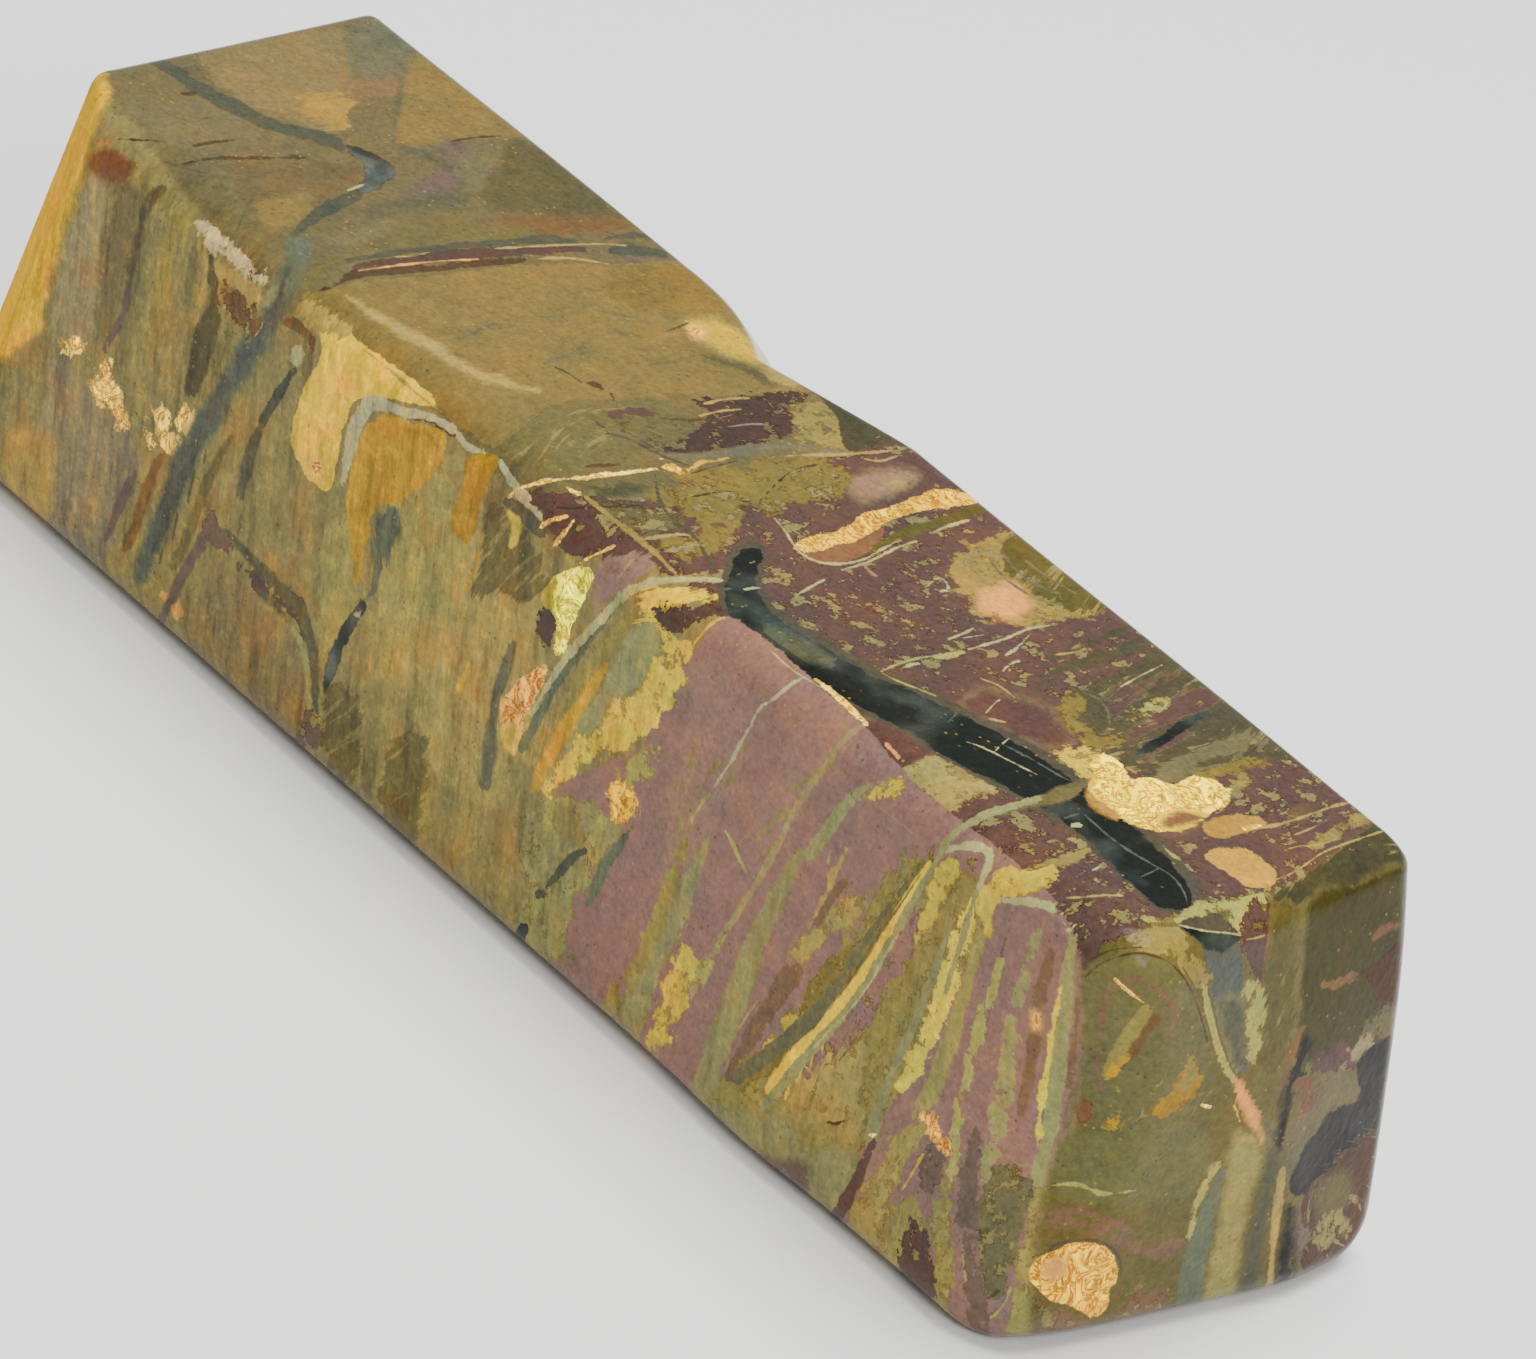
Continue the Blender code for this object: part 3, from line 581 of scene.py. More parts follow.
    ("second worm", "slate green", "clean", (2, 5, 6, 5, 3), (634,824, 620,845, 605,866, 596,886, 586,908)),
    ("sage strip", "sage olive", "smear", (3, 9, 13, 15, 17, 17), (708,838, 690,880, 675,915, 660,955,
     645,992, 625,1040)),
    ("yellow fringe", "yellow olive", "torn", (3, 5, 6, 7, 8, 8, 9, 10), (692,820, 681,850, 671,880,
     660,910, 649,940, 640,965, 622,990, 596,1020)),
    ("grey rib", "grey tan", "clean", (2, 3, 3, 3, 3.5, 4, 4, 5), (868,722, 848,737, 829,760, 800,801,
     780,840, 756,884, 729,926, 650,1062)),
    ("yellow dabs", "yellow", "torn", (), (692,934, 681,950, 668,975, 660,1000, 652,1034, 640,1058,
     668,1040, 684,1015, 694,990, 702,965, 690,960)),
    ("small yellow dabs", "pale olive", "torn", (), (736,930, 731,955, 717,961, 714,985, 705,991, 699,978,
     714,952)),
    ("dark purple strip", "front purple", "smear", (4, 9, 10, 8, 8), (790,850, 766,890, 742,930, 718,975,
     676,1066)),
    ("olive strip", "sage olive", "smear", (4, 8, 10, 12, 13, 13, 13), (802,850, 786,880, 766,920, 750,960,
     735,1000, 720,1040, 700,1100)),
    ("pale top of the strip", "sage", "clean", (3, 5, 6, 7, 6), (896,784, 872,787, 850,800, 830,826,
     808,858)),
    ("yellow lip", "yellow", "torn", (), (864,794, 894,779, 903,787, 884,798)),
    ("rust strip of the near part", "rust purple", "smear", (5, 10, 12, 10, 6), (845,880, 815,930, 785,985,
     758,1030, 728,1080)),
    ("ragged flames", "mottled ochre", "torn", (), (858,893, 872,904, 846,926, 820,946, 799,962, 794,950,
     814,926, 836,905)),
    ("orange flame", "ochre", "torn", (1.5, 3, 3, 1.5), (848,845, 835,872, 825,897, 808,930)),
    ("ochre slab", "leaf olive", "torn", (), (932,848, 905,878, 890,900, 880,920, 860,940, 830,955, 815,970,
     805,990, 790,1010, 776,1028, 756,1048, 730,1075, 770,1075, 840,1014, 882,950, 920,892)),
    ("yellow foot of the slab", "yellow", "torn", (), (795,1010, 804,1022, 786,1042, 764,1058, 748,1060,
     770,1035)),
    ("slate rib of the slab", "olive shade", "clean", (1.5, 2, 3, 6, 9, 8, 8), (925,862, 890,905, 862,945,
     835,990, 808,1022, 775,1048, 735,1080)),
    ("orange rib of the slab", "bright yellow", "smear", (3, 5, 6, 6, 7, 7, 7, 7), (930,862, 905,904,
     886,940, 870,965, 850,994, 826,1020, 800,1050, 768,1092)),
    ("blue rib of the slab", "sage", "clean", (3, 4, 4, 4, 4, 5, 6, 6), (948,842, 926,880, 905,916, 886,950,
     865,985, 838,1020, 795,1070, 750,1125)),
    ("pale ribs at the crown", "sage", "clean", (3, 4, 4, 3, 3), (1042,797, 1000,810, 965,826, 946,842,
     938,860)),
    ("second orange rib", "ochre", "torn", (4, 6, 7, 5, 3), (832,1052, 815,1076, 801,1096, 795,1116,
     790,1140)),
    ("ochre loops", "mottled ochre", "torn", (), (832,1054, 850,1045, 864,1034, 867,1060, 860,1100,
     867,1120, 850,1146, 840,1140, 834,1122, 812,1120, 804,1130, 812,1096, 822,1070)),
    ("sage foot", "sage olive", "soft", (), (740,1110, 790,1120, 800,1140, 850,1150, 862,1170, 842,1215,
     780,1210, 700,1110)),
    ("amber bead", "yellow olive", "soft", (), (799,1131, 829,1127, 837,1142, 822,1151, 805,1149)),
    ("purple foot", "dull purple", "soft", (), (745,1155, 775,1158, 808,1168, 800,1200, 760,1190)),
    ("blue-grey rib", "sage olive", "clean", (3, 4, 5, 5, 4, 6, 8), (951,920, 936,968, 921,1008, 906,1042,
     890,1078, 880,1108, 868,1142)),
    ("bright yellow rib", "lemon green", "torn", (6, 9, 10, 10, 10, 9, 8, 5), (978,898, 966,925, 956,950,
     949,980, 938,1010, 926,1040, 914,1068, 902,1092)),
    ("olive rib beside it", "light olive", "smear", (4, 6, 9, 9, 8, 7), (986,925, 966,985, 951,1040,
     934,1085, 918,1120, 902,1160)),
    ("yellow crown rib", "yellow", "torn", (), (973,906, 988,880, 1004,868, 1030,871, 1054,864, 1042,885,
     1020,897, 1000,902, 986,932)),
    ("rust triangle", "rust", "torn", (), (952,858, 982,856, 974,872, 962,866)),
    ("yellow wedge", "yellow", "torn", (), (935,868, 950,858, 962,868, 950,895, 930,925, 915,945, 922,910)),
    ("pale frame", "pale sage", "clean", (3, 4, 5, 5, 5, 3), (940,851, 962,847, 984,849, 989,860, 984,875,
     978,890)),
    ("pale frame's leg", "sage", "clean", (3, 4, 3, 2), (977,890, 966,925, 956,960, 944,995)),
    ("second pale frame", "pale sage", "clean", (2, 4, 5, 5, 4), (1000,900, 1030,902, 1058,910, 1074,924,
     1079,945)),
    ("pale dashes", "pale olive", "torn", (2, 4, 5, 5, 5, 4, 4, 5, 6), (999,958, 992,990, 982,1020,
     974,1046, 968,1070, 960,1095, 955,1120, 955,1150, 950,1182)),
    ("olive column", "light olive", "torn", (7, 10, 11, 10, 9, 10, 10), (947,1178, 942,1210, 941,1240,
     944,1268, 941,1300, 938,1340, 936,1390)),
    ("sage dots", "sage", "torn", (3, 5, 6, 7, 9, 10, 10, 8), (1038,930, 1026,970, 1018,1000, 1010,1040,
     1005,1080, 1000,1120, 992,1160, 984,1205)),
    ("rust rib", "rust purple", "smear", (5, 7, 7, 6, 5), (1052,950, 1041,990, 1036,1030, 1030,1070,
     1020,1115)),
    ("peach dot", "peach", "soft", (), (1031,1014, 1041,1013, 1043,1024, 1036,1030, 1031,1024)),
    ("pale green column", "sage", "clean", (5, 7, 8, 8, 9, 9, 7, 5), (1079,930, 1070,960, 1066,1000,
     1060,1050, 1054,1090, 1050,1130, 1040,1175, 1030,1210)),
    # The column's quartz is pale; its whitest strip is painted sheen, where the rounded edge between the
    # front face and the tip gives back the light.
    ("white heart of the column", "pale sage", "soft", (2, 4, 6, 5, 2), (1060,1070, 1052,1100, 1049,1130,
     1043,1155, 1036,1178)),
    ("yellow edge of the column", "lemon green", "torn", (1.5, 2.5, 3, 3, 2), (1061,985, 1053,1030,
     1047,1070, 1041,1112, 1037,1150)),
    ("brown rib by the eye", "rust purple", "smear", (3, 4, 4, 2), (1090,962, 1080,1000, 1074,1050,
     1068,1090)),
    ("green rib by the eye", "olive green", "smear", (4, 6, 7, 7, 7), (1100,985, 1087,1030, 1080,1080,
     1068,1130, 1046,1205)),
    ("dark sage foot", "olive shade", "torn", (), (984,1182, 1008,1160, 1030,1190, 1022,1240, 1004,1290,
     985,1292, 974,1240)),
    ("purple column", "dull purple", "torn", (5, 9, 10, 9, 8), (976,1130, 968,1185, 969,1235, 975,1285,
     985,1340)),
    ("olive foot", "light olive", "torn", (7, 10, 12, 13, 14), (1042,1190, 1032,1230, 1026,1280, 1020,1330,
     1015,1390)),
    ("ochre foot", "mottled ochre", "torn", (), (880,1162, 902,1130, 922,1128, 903,1170, 892,1200, 922,1202,
     908,1262, 880,1270, 850,1245, 850,1206)),
    ("purple dart", "dull purple", "torn", (), (928,1142, 945,1158, 936,1192, 920,1184)),
    ("peach dart", "peach", "torn", (), (922,1112, 945,1130, 952,1152, 941,1152, 928,1134)),
    ("purple strip of the foot", "purple", "clean", (3, 6, 7, 7), (874,1140, 858,1176, 846,1200, 826,1240)),
    ("purple wedge of the foot", "purple", "torn", (), (905,1232, 918,1225, 932,1260, 930,1320, 900,1290)),
    ("tip ground", "tip olive", "soft", (), (1082,930, 1110,945, 1160,920, 1240,905, 1300,880, 1460,800,
     1460,1200, 1340,1330, 1040,1400, 1030,1330, 1040,1200, 1078,1100)),
    ("purple shoulder", "purple", "torn", (), (1062,898, 1150,905, 1142,928, 1122,941, 1100,950, 1086,968,
     1076,940)),
    ("green shell of the eye", "olive green", "soft", (), (1086,975, 1104,958, 1140,950, 1172,960, 1192,985,
     1206,1022, 1212,1065, 1205,1100, 1170,1125, 1120,1135, 1084,1120, 1084,1030)),
    ("brown ring of the eye", "rust purple", "smear", (2, 3, 3), (1100,1094, 1097,1060, 1100,1030,
     1105,1003, 1114,986, 1132,979, 1152,986, 1168,1000, 1176,1018, 1168,1042)),
    ("yellow heart of the eye", "yellow olive", "smear", (5, 8, 9, 8, 5), (1148,1006, 1138,1025, 1124,1046,
     1114,1062, 1106,1078)),
    ("rust heart of the eye", "rust tan", "smear", (2, 4, 5, 3), (1160,1012, 1148,1028, 1140,1042,
     1128,1058)),
    ("orange heart of the eye", "orange", "torn", (2, 4, 3), (1130,1056, 1118,1066, 1106,1079)),
    ("yellow hood", "yellow olive", "torn", (), (1122,939, 1140,929, 1176,924, 1191,944, 1203,965, 1207,988,
     1196,991, 1181,968, 1160,955, 1140,950)),
    ("yellow flank", "pale olive", "torn", (3, 5, 5, 5, 4, 3), (1203,985, 1211,1015, 1217,1040, 1225,1062,
     1236,1082, 1246,1100)),
    ("orange crescent", "deep orange", "torn", (), (1150,1112, 1160,1095, 1176,1080, 1186,1058, 1192,1050,
     1201,1070, 1204,1086, 1195,1097, 1180,1111, 1165,1119)),
    ("yellow of the crescent", "yellow olive", "soft", (2, 4, 4), (1188,1052, 1192,1072, 1180,1090)),
    ("orange crumb", "orange", "torn", (), (1104,1122, 1112,1116, 1122,1122, 1118,1132, 1106,1134)),
    ("brown crumb", "rust", "torn", (), (1078,1108, 1088,1100, 1094,1118, 1084,1128)),
    ("olive belly", "tip olive light", "soft", (), (1060,1140, 1120,1130, 1180,1120, 1210,1140, 1205,1180,
     1170,1200, 1100,1205, 1055,1190)),
    ("yellow bar over the vein", "pale olive", "torn", (), (1138,916, 1165,918, 1182,911, 1200,901,
     1226,899, 1246,894, 1264,890, 1264,905, 1248,919, 1241,931, 1234,930, 1225,913, 1205,911, 1190,920,
     1170,926, 1150,921)),
    ("vein's green face", "vein halo", "clean", (), (1178,925, 1200,915, 1222,914, 1236,930, 1243,937,
     1232,946, 1222,953, 1206,952, 1196,940)),
    ("vein's dark face", "blue black", "clean", (), (1182,926, 1205,931, 1241,937, 1230,946, 1219,955,
     1204,946)),
    # Painted reflection: blue-grey laid over the black vein where it runs onto the tip and gives back the
    # light.
    ("vein's grey face", "blue grey", "clean", (), (1203,950, 1220,953, 1238,942, 1243,960, 1246,1000,
     1250,1036, 1246,1072, 1236,1072, 1223,1040, 1214,1005, 1208,975)),
    ("vein's shaded foot", "slate", "soft", (), (1218,1000, 1242,1000, 1247,1040, 1240,1066, 1230,1050,
     1222,1025)),
    # Painted highlights: a light peach band and a blue-grey spot stand for pink and bluish sheen near the
    # tip's apex.
    ("pink end of the vein", "light peach", "soft", (4, 6, 8, 8, 5), (1236,1078, 1243,1095, 1250,1112,
     1257,1128, 1262,1142)),
    ("blue fleck", "blue grey", "soft", (), (1266,1122, 1276,1124, 1278,1140, 1268,1142)),
    ("purple strip on the tip", "purple", "torn", (), (1243,906, 1262,896, 1271,900, 1268,930, 1265,960,
     1262,986, 1250,976, 1246,950, 1241,936)),
    ("yellow strip on the tip", "pale olive", "torn", (), (1245,976, 1258,981, 1266,1000, 1263,1040,
     1255,1062, 1248,1050, 1246,1010)),
    ("olive strip on the tip", "olive", "smear", (8, 12, 12, 10), (1282,905, 1282,960, 1280,1020,
     1268,1070)),
    ("dark olive rim", "hollow olive", "smear", (), (1276,896, 1300,880, 1340,850, 1392,818, 1440,850,
     1400,874, 1350,882, 1300,902)),
    # The tip's right facet: real olive, slate and rust, painted much darker than elsewhere as painted shade
    # on that facet.
    ("right facet", "facet olive", "soft", (), (1310,900, 1350,884, 1440,870, 1440,1040, 1350,1060,
     1300,1060, 1300,980)),
    ("dark strip of the facet", "facet slate", "soft", (5, 8, 8, 6, 5), (1308,1035, 1299,1065, 1291,1090,
     1284,1116, 1280,1150)),
    ("rust strip of the facet", "rust tan", "torn", (2, 3, 4, 3), (1306,1022, 1292,1052, 1284,1078,
     1272,1098)),
    ("rust edge of the facet", "facet rust", "torn", (), (1372,965, 1440,930, 1440,1000, 1388,1012,
     1374,990)),
    ("rust curl", "rust", "smear", (2, 4, 3), (1372,940, 1382,930, 1400,925)),
    ("small rust line", "rust tan", "torn", (2, 4, 3), (1322,985, 1340,983, 1356,975)),
    ("ochre corner of the facet", "olive tan", "torn", (), (1362,1022, 1382,1008, 1440,1015, 1400,1036,
     1370,1038)),
    ("purple blot", "red purple", "torn", (), (1322,1052, 1345,1042, 1360,1055, 1352,1073, 1334,1076,
     1312,1072)),
    ("pale blot", "grey tan", "torn", (), (1350,1050, 1362,1038, 1376,1036, 1366,1052, 1354,1060)),
    ("dark facet", "facet slate", "clean", (), (1358,1062, 1392,1036, 1440,1040, 1440,1120, 1378,1128,
     1340,1160, 1310,1190, 1292,1196, 1292,1165, 1318,1128, 1336,1108, 1358,1100)),
    ("cream facet", "drab", "clean", (), (1318,1076, 1345,1072, 1359,1085, 1356,1097, 1336,1105, 1325,1111,
     1315,1130, 1301,1151, 1294,1170, 1283,1192, 1277,1180, 1284,1150, 1290,1130, 1301,1100)),
    ("rust on the cream facet", "rust", "torn", (), (1300,1085, 1316,1076, 1320,1088, 1310,1105,
     1300,1112)),
    ("rust foot", "facet rust", "smear", (), (1308,1192, 1340,1160, 1376,1128, 1440,1130, 1440,1200,
     1350,1260, 1310,1275, 1300,1240, 1302,1212)),
    ("olive face of the foot", "olive", "soft", (), (1318,1186, 1345,1170, 1350,1200, 1330,1215,
     1315,1210)),
    ("yellow heart of the foot", "yellow olive", "torn", (), (1318,1222, 1335,1212, 1348,1218, 1340,1240,
     1318,1246, 1308,1240)),
    ("purple edge of the foot", "dull purple", "torn", (), (1294,1216, 1310,1220, 1306,1250, 1296,1262,
     1288,1240)),
    ("olive sweep", "light olive", "soft", (), (1234,1132, 1258,1138, 1262,1160, 1250,1200, 1240,1250,
     1228,1330, 1200,1330, 1215,1240, 1225,1180)),
    ("slate sweep", "slate green", "clean", (3, 8, 11, 12, 13, 14), (1223,1168, 1212,1200, 1202,1232,
     1195,1262, 1187,1300, 1180,1350)),
    ("yellow edge of the sweep", "pale olive", "torn", (2, 3, 3, 2), (1220,1160, 1206,1184, 1196,1210,
     1188,1240)),
    ("second slate sweep", "slate", "soft", (4, 6, 8, 9, 9), (1274,1148, 1268,1190, 1258,1232, 1250,1280,
     1244,1330)),
    ("orange thread band", "ochre", "clean", (3, 5, 5, 3, 3, 3), (1284,1165, 1279,1195, 1276,1222,
     1273,1250, 1270,1280, 1266,1330)),
    ("dark field right of it", "facet slate", "soft", (5, 8, 10), (1290,1205, 1286,1250, 1284,1310)),
    ("brown wave", "rust purple", "torn", (5, 6, 6, 6, 7, 5), (1038,1222, 1075,1222, 1104,1231, 1130,1244,
     1160,1252, 1186,1243)),
    ("upper brown wave", "rust purple", "torn", (2, 4, 4, 2), (1048,1214, 1080,1212, 1110,1222, 1140,1236)),
    ("rust ground under the waves", "rust purple", "torn", (), (1036,1300, 1060,1310, 1100,1322, 1130,1300,
     1160,1290, 1175,1330, 1170,1400, 1030,1400, 1038,1340)),
    ("peach nodule", "peach gold", "clean", (), (1030,1270, 1040,1255, 1060,1250, 1075,1243, 1100,1245,
     1115,1260, 1118,1280, 1110,1290, 1106,1310, 1090,1316, 1070,1305, 1050,1300, 1035,1285)),
    ("pink face of the nodule", "light peach", "soft", (), (1040,1262, 1062,1256, 1068,1272, 1050,1284)),
)

# The thin mineral threads on top of them, each with a name, a mineral, a half-width and a path.
THREADS = (
    ("brown hairs", "brown", 1.8, (190,147, 215,142, 240,140)),
    ("brown hair", "brown", 2.2, (180,165, 215,158, 262,158, 312,157)),
    ("dark hair", "brown", 1.8, (118,139, 140,140, 165,141)),
    ("grey hair", "olive grey", 2, (160,160, 185,168, 215,175, 250,182)),
    ("green hair", "olive grey", 2.2, (262,185, 248,205, 236,232)),
    ("pale edge of the bend", "pale blue grey", 1.4, (344,192, 354,188, 366,184)),
    ("dark fleck", "brown", 2.5, (180,92, 188,94, 197,93)),
    ("blob's underline", "brown", 1.3, (446,142, 480,137, 505,136)),
    ("tan fold", "drab brown", 1.5, (420,112, 460,107, 500,112)),
    ("pink hair", "light peach", 1.2, (356,271, 400,265, 440,261, 482,259)),
    ("pale hair", "pale tan", 1.2, (390,257, 412,256, 430,252)),
    ("cream hair by the lines", "pale tan", 1.2, (490,249, 540,246, 600,244, 630,246)),
    ("pale hair under the lines", "pale tan", 1.4, (534,259, 570,258, 612,265)),
    ("second cream streak", "pale tan", 1.8, (362,348, 392,372, 420,396, 442,412)),
    ("dark crack", "olive shade", 2.4, (456,341, 470,334, 488,326, 500,322)),
    ("its thin part", "olive shade", 1.1, (500,321, 515,318, 530,315)),
    ("second crack", "olive shade", 1.4, (528,315, 548,317, 566,318)),
    ("its blot", "olive shade", 3, (556,318, 566,324)),
    ("third crack", "olive shade", 1.3, (578,302, 600,311, 630,317, 650,324, 662,334)),
    ("fourth crack", "slate olive", 1.6, (662,333, 676,328, 690,322)),
    ("fifth crack", "olive shade", 2.2, (543,363, 562,357, 588,345)),
    ("blot", "olive shade", 2.6, (612,329, 620,333, 630,336)),
    ("sixth crack", "olive shade", 1.2, (642,367, 660,363, 686,361)),
    ("seventh crack", "brown", 1, (552,366, 570,374, 586,386)),
    ("rust blots", "brown", 3, (585,383, 596,385, 606,390)),
    ("rust blot trail", "brown", 1.6, (606,390, 614,397, 612,404)),
    ("brown crack below", "brown purple", 1.6, (590,412, 598,424, 608,430)),
    ("purple hair", "brown purple", 2.2, (616,428, 634,436, 650,446, 660,451)),
    ("slate hair", "slate olive", 2, (602,432, 632,440, 660,455, 690,466)),
    ("long brown hair", "brown", 1.2, (665,419, 700,420, 740,419)),
    ("pale line in the purple", "pale tan", 1.4, (698,416, 722,411, 744,409)),
    ("second pale line", "pale tan", 1.6, (700,405, 725,399, 752,398)),
    ("third pale line", "rose purple", 1.2, (726,427, 752,424, 775,425)),
    ("brown lower line", "brown", 1.8, (582,467, 600,465, 625,465)),
    ("orange hair", "rust tan", 1.6, (636,466, 650,461, 662,464)),
    ("cream vein", "cream", 2.4, (508,498, 520,488, 548,481, 590,477, 640,471, 662,468)),
    ("cream vein's bright knot", "bright gold", 4, (660,467, 672,467, 684,474)),
    ("cream vein's white knot", "pale yellow", 2.4, (664,465, 672,465, 680,467)),
    ("cream vein goes on", "pale yellow", 2.2, (686,471, 702,462, 716,461, 730,458)),
    ("dark edge of the cream vein", "brown", 1.2, (690,474, 716,466, 742,460)),
    ("pale line over the purple", "pale tan", 1.8, (770,457, 806,455, 850,454, 900,450)),
    ("pale lens line", "pale tan", 1.6, (860,458, 880,461, 900,455)),
    ("brown leaf edge", "dark brown", 1.2, (756,505, 790,472, 822,464)),
    ("crack through the leaf", "slate olive", 2.6, (655,472, 657,490, 664,510, 682,528, 696,538, 706,556,
     718,572)),
    ("dark leaf crack", "dark brown", 1.3, (540,502, 560,508, 600,507, 648,505)),
    ("second leaf crack", "dark brown", 1.2, (690,497, 720,492, 742,492)),
    ("pale streak over the stripes", "pale tan", 1.6, (640,540, 670,535, 698,535)),
    ("second pale streak", "pale tan", 1.4, (660,553, 684,547, 700,544)),
    ("pale arc", "pale sage", 1.4, (772,515, 786,532, 794,545, 808,558, 832,564, 862,560, 884,548,
     904,538)),
    ("green line", "pale sage", 1.5, (792,598, 812,586, 828,578)),
    ("second green line", "pale sage", 1.5, (838,571, 868,562, 898,547, 922,540)),
    ("third green line", "pale sage", 1.8, (930,534, 948,526, 972,519)),
    ("pink fleck", "pink", 2, (862,560, 868,570, 878,577)),
    ("pale ring", "pale blue grey", 1.6, (926,588, 936,578, 946,580, 948,590, 936,592)),
    ("white flecks", "pale blue grey", 2, (786,559, 794,558)),
    ("white fleck in the vein", "pale blue grey", 1.6, (748,563, 756,561)),
    ("second white fleck", "pale blue grey", 1.2, (742,590, 752,588, 762,588)),
    ("yellow pale line", "pale olive", 1.8, (878,673, 898,664, 918,658, 936,656)),
    ("yellow body of the line", "pale olive", 4, (930,657, 948,656, 966,651)),
    ("line goes on", "pale blue grey", 1.6, (966,650, 984,645, 1004,639, 1032,628, 1052,625)),
    ("pale start of the line", "pale sage", 2, (902,668, 912,664, 922,664)),
    ("line under the delta", "pale sage", 1.4, (944,641, 962,634, 976,627)),
    ("dark hair in the purple", "brown purple", 1.2, (818,621, 846,628, 880,640, 920,652)),
    ("second dark hair", "brown purple", 1, (936,664, 962,674, 990,684)),
    ("pale squiggle", "pale blue grey", 1.8, (1004,656, 1014,650, 1022,643, 1032,632)),
    ("second squiggle", "pale blue grey", 1.6, (1002,672, 1010,664, 1022,660)),
    ("yellow hair", "pale olive", 1.2, (978,678, 996,684, 1008,692, 1018,700)),
    ("pale hair by the vein", "pale tan", 1.2, (984,717, 1000,721, 1012,723)),
    ("pale twig", "pale blue grey", 1.2, (984,715, 994,704, 1002,698)),
    ("swirl line", "olive shade", 1.6, (1078,690, 1100,700, 1110,720, 1104,735)),
    ("second swirl line", "pale tan", 1.2, (1052,655, 1076,652, 1090,646)),
    ("third swirl line", "pale sage", 1.2, (1118,688, 1140,676, 1164,664)),
    ("fourth swirl line", "brown purple", 1.8, (1036,684, 1056,672, 1092,668, 1130,655)),
    ("fifth swirl line", "brown purple", 1.6, (1044,702, 1050,716, 1064,732, 1080,742)),
    ("delta line", "olive shade", 1.8, (988,556, 996,568, 1012,584, 1040,600, 1064,604)),
    ("second delta line", "olive shade", 1.6, (1000,548, 1012,566, 1034,584, 1066,596)),
    ("third delta line", "olive shade", 1.2, (1020,556, 1046,576, 1080,596)),
    ("delta's dark blot", "brown", 2.2, (1044,604, 1056,606)),
    ("scratch in the vein", "pale blue grey", 1, (962,740, 984,748, 1012,762, 1040,776)),
    ("fracture", "pale blue grey", 0.8, (990,756, 1002,744, 1012,736)),
    ("long fracture", "blue grey", 1.2, (1004,745, 1028,757, 1050,770, 1072,782)),
    ("second fracture", "blue grey", 1.2, (1082,812, 1104,832, 1128,850, 1152,864, 1172,876, 1184,892,
     1188,906)),
    ("third fracture", "blue grey", 1, (1062,819, 1074,815, 1084,812)),
    ("fourth fracture", "blue grey", 1, (1140,877, 1154,871, 1164,865)),
    ("fifth fracture", "blue grey", 1, (820,670, 830,662, 840,656)),
    ("sixth fracture", "blue grey", 0.8, (948,722, 958,712)),
    ("pale lip of the vein", "pale sage", 1.2, (768,648, 790,668, 812,682, 836,694)),
    ("second pale lip", "pale olive", 1.2, (880,672, 900,682, 922,690, 940,698)),
    ("pale fleck over the vein", "pale olive", 1.8, (1162,846, 1174,856, 1184,862)),
    ("white twig", "pale blue grey", 1.8, (1070,828, 1076,824, 1084,826)),
    ("second white twig", "pale blue grey", 2, (1090,871, 1098,868, 1104,862)),
    ("pale hair at the tip", "pale olive", 1.8, (1062,898, 1086,897, 1106,895, 1124,896)),
    ("white line by the amber", "pale tan", 1.6, (1244,829, 1262,828, 1284,823, 1306,816, 1334,806,
     1360,800)),
    ("cream dash of the amber", "cream", 2.6, (1240,830, 1252,827, 1262,826)),
    ("pale line at the corner", "pale tan", 1.2, (1272,881, 1296,871, 1322,853, 1350,842, 1392,828)),
    ("second pale line at the corner", "pale tan", 1.2, (1284,850, 1300,846, 1318,845, 1338,838)),
    ("third pale line at the corner", "pale tan", 1, (1290,836, 1310,829, 1330,818)),
    ("line over the vein's end", "pale sage", 1.3, (1176,924, 1192,928, 1206,931, 1228,933, 1244,936)),
    ("rust line of the strip", "rust tan", 2, (1273,900, 1270,930, 1266,960, 1262,990)),
    ("white line of the strip", "pale tan", 1.2, (1246,940, 1256,938, 1266,935)),
    ("first ridge streak", "cream", 3, (566,487, 574,492, 584,496)),
    ("ridge streak", "cream ochre", 4, (582,494, 604,512, 630,532, 654,552, 679,577)),
    ("ridge streak over the purple", "cream", 4.5, (813,678, 830,690, 850,708, 869,727)),
    ("pink ridge hair", "pink", 1.6, (867,799, 884,811, 900,823, 914,835)),
    ("ridge dash", "light peach", 3, (884,742, 892,750, 900,760)),
    ("cream crumbs", "cream", 3, (540,528, 552,520, 570,516)),
    ("cream curl", "cream", 2.4, (552,548, 562,536, 574,520)),
    ("cream lip", "cream", 2, (580,563, 594,555, 606,550, 616,545)),
    ("white scratch", "pale tan", 1.4, (618,578, 626,568, 632,560)),
    ("purple crumb", "brown purple", 6, (530,502, 544,504, 556,510)),
    ("purple crumb beside it", "red purple", 8, (566,552, 576,540, 588,530)),
    ("blue hair", "blue grey", 1.4, (720,590, 735,588)),
    ("yellow crumb line", "pale yellow", 1.6, (690,650, 700,636, 714,622, 728,616)),
    ("pale dashes line", "pale blue grey", 2, (806,676, 792,684, 772,700, 760,708, 750,726)),
    ("pale dashes go on", "pale blue grey", 2.4, (752,724, 742,740, 734,756, 724,772, 712,790)),
    ("pale dashes end", "pale olive", 2.6, (712,790, 702,804, 694,816, 688,828)),
    ("pale side twig", "pale olive", 1.8, (722,825, 733,844, 740,860, 748,876)),
    ("pale scratch", "pale blue grey", 1.8, (776,900, 762,928, 744,950)),
